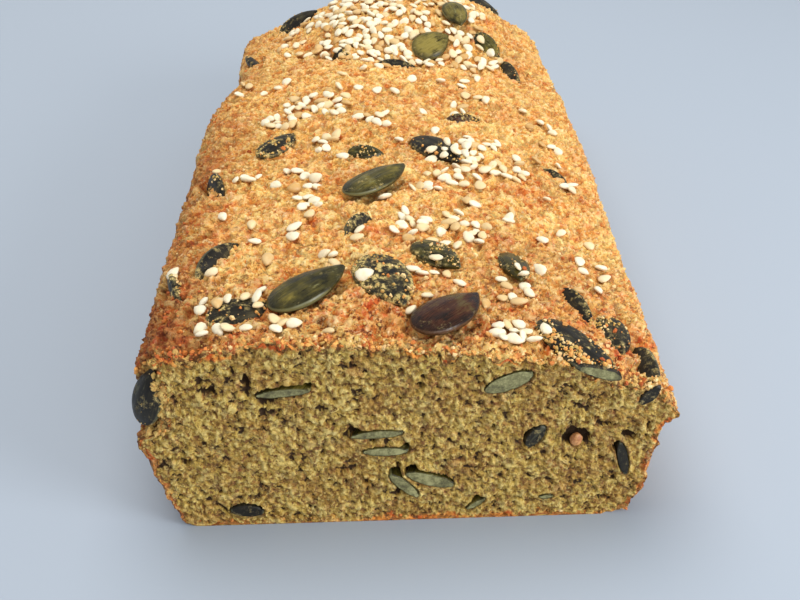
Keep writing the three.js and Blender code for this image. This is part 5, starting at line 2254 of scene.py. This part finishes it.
    def heaped_on(self, seed: PumpkinSeed, tries: int = 260) -> list[Drop]:
        """Crumb that still covers the inner side of a seed at the broken corner.

        Args:
            seed: the seed.
            tries: how many are tried.

        Returns:
            The crumbs.
        """
        drops = []
        half = np.array(seed.size) / 2
        side = float(np.sign(-seed.turn[1, 2]))
        for _ in range(tries):
            angle, share = self.draw.uniform(0, FULL_TURN), math.sqrt(self.draw.uniform(0.1, 1.1))
            x, y = half[0] * share * math.cos(angle), half[1] * share * math.sin(angle)
            place = seed.on_face(x, y, share, side)
            if place[0] > seed.origin[0] + 1.2 + 2.2 * layered_noise(place + 6, 2.0, 2):
                turn = self.turned(seed.turn[:, 2] * side, self.crumb_tip)
                drops.append((place, turn, self.crumb_size(0.5, 1.1), 0.6))
        return drops

    def on_torn_crust(self, count: int) -> list[Drop]:
        """Crumb on the steps round the places where the crust broke away.

        Args:
            count: how many at most.

        Returns:
            The crumbs.
        """
        lost = self.surface.broken
        steps = np.flatnonzero((lost > 0.3) & (lost < 5.4))
        places, out = self.surface.places.reshape(-1, 3), self.surface.out.reshape(-1, 3)
        chosen = self.draw.choice(steps, min(count, len(steps)), replace=False)
        return [(places[i], self.turned(out[i], self.crumb_tip), self.crumb_size(0.6, 1.2),
                 self.draw.uniform(0.45, 0.72)) for i in chosen]

    def at_foot(self, count: int) -> list[Drop]:
        """Crust crumbs along the foot of the cut face."""
        return [(self.draw.uniform((-45, -0.1, 0.2), (43, 0.9, 0.9)), self.draw.uniform(0, FULL_TURN, 3),
                 self.crumb_size(0.3, 0.8), self.draw.uniform(0.2, 1.0)) for _ in range(count)]


# Stage


@dataclass(frozen=True)
class SoftLight:
    """A round area light: its place and what it points at in metres, its width, watts and colour."""

    name: str
    place: Triple
    target: Triple
    width: float
    power: float
    colour: Rgb
    glossy: bool = True

    def build(self) -> None:
        """Adds the light."""
        data = bpy.data.lights.new(self.name, "AREA")
        data.shape, data.size, data.energy, data.color = "DISK", self.width, self.power, self.colour
        light = link_object(self.name, data)
        back = unit(np.array(self.place) - np.array(self.target))
        side = unit(np.cross((0, 0, 1), back))
        light.location = self.place
        light.rotation_euler = Matrix(np.stack([side, np.cross(back, side), back], -1)).to_euler()
        light.visible_glossy = self.glossy


@dataclass
class Studio:
    """Floor, soft light and the camera at the photograph's viewing angle.

    One light is broad and stands over and behind the loaf, one is to its right and a weak one in
    front.
    """

    work: WorkFrame
    camera_place: Triple = (-9.5, -149.6, 153.0)
    pitch: float = 33.6
    yaw: float = 2.35
    focal_pixels: float = 1036.0
    image_width: float = 800.0
    sensor: float = 36.0
    floor_colour: Rgb = rgb(160, 168, 178)
    half_floor: float = 2.0
    sky: tuple[Rgb, float] = ((0.86, 0.93, 1.0), 0.5)
    lights: tuple[SoftLight, ...] = (
        SoftLight("over", (-0.1, 0.2, 0.8), (0, 0.0, 0.03), 0.8, 6.6, (1.0, 0.985, 0.96), glossy=False),
        SoftLight("side", (0.6, -0.4, 0.28), (0, -0.05, 0.03), 0.4, 4.2, (0.92, 0.96, 1.0)),
        SoftLight("front", (0.3, -0.9, 0.5), (0, -0.1, 0.02), 0.6, 2.5, (1.0, 0.99, 0.97)),
    )

    def build(self) -> None:
        """Sets the stage."""
        self.floor()
        world = bpy.data.worlds.new("studio")
        world.use_nodes = True
        background = world.node_tree.nodes["Background"].inputs
        background["Color"].default_value = (*self.sky[0], 1.0)
        background["Strength"].default_value = self.sky[1]
        bpy.context.scene.world = world
        for light in self.lights:
            light.build()
        self.camera()
        bpy.context.scene.view_settings.view_transform = "Standard"

    def floor(self) -> None:
        """A plain pale floor."""
        corners = self.half_floor * np.array([[-1, -1, 0], [1, -1, 0], [1, 1, 0], [-1, 1, 0]])
        floor = make_piece("floor", corners, [np.array([[0, 1, 2, 3]])])
        sheet = Dressing("floor")
        light = tuple(min(1.0, value * 1.05) for value in self.floor_colour)
        cloudy = sheet.mix(sheet.noise(sheet.place(), 0.4), self.floor_colour, light)
        sheet.feed(sheet.shader["Base Color"], cloudy)
        sheet.shader["Roughness"].default_value = 0.85
        floor.data.materials.append(sheet.material)

    def camera(self) -> None:
        """The camera, from the pinhole model of the photograph."""
        data = bpy.data.cameras.new("camera")
        data.sensor_width = self.sensor
        data.lens = self.focal_pixels * self.sensor / self.image_width
        data.clip_start = 0.01
        camera = link_object("camera", data)
        camera.location = self.work.to_row(self.camera_place)
        camera.rotation_euler = Euler((math.radians(90 - self.pitch), 0, math.radians(-self.yaw)))
        bpy.context.scene.camera = camera


def main() -> None:
    """Builds the bread, piece by piece, and its stage."""
    logging.basicConfig(level=logging.INFO, format="%(name)s: %(message)s")
    form = LoafForm()
    crust_seeds = [PumpkinSeed.on_crust(spec, form) for spec in CRUST_SEEDS]
    seeds = [*crust_seeds, *(PumpkinSeed.on_cut(spec) for spec in CUT_SEEDS)]
    work = find_work_frame(crust_seeds)
    surface = CrustSurface(form, CrustRelief(), seeds, work.box())
    surface.build()
    grain = fine_grain_group()
    CrustBody(surface, work).build(CrustFinish().material(grain))
    CrumbFace(surface, work).build(CrumbFinish().material(grain))
    Lentil().build(work, LentilFinish().material())
    skins = {Skin(finish.name): finish.material(grain) for finish in SEED_SKINS}
    SeedCrop(seeds, work).build(skins, SeedFleshFinish().material(grain))
    toppings = Toppings(surface, np.random.default_rng(TOPPINGS_SEED))
    sesame = Scatter("sesame", [sesame_shape(i) for i in range(4)], work, 5)
    material = SesameFinish().material()
    finish_piece(sesame.build(toppings.sesame(), material), material, "sesame", LOAF_NODE)
    crumbs = Scatter("loose_crumbs", [crumb_shape(i) for i in range(5)], work, 8, rounded=False)
    material = LooseCrumbFinish().material(grain)
    finish_piece(crumbs.build(toppings.crumbs(), material), material, "crust", LOAF_NODE)
    Studio(work).build()


if __name__ == "__main__":
    main()
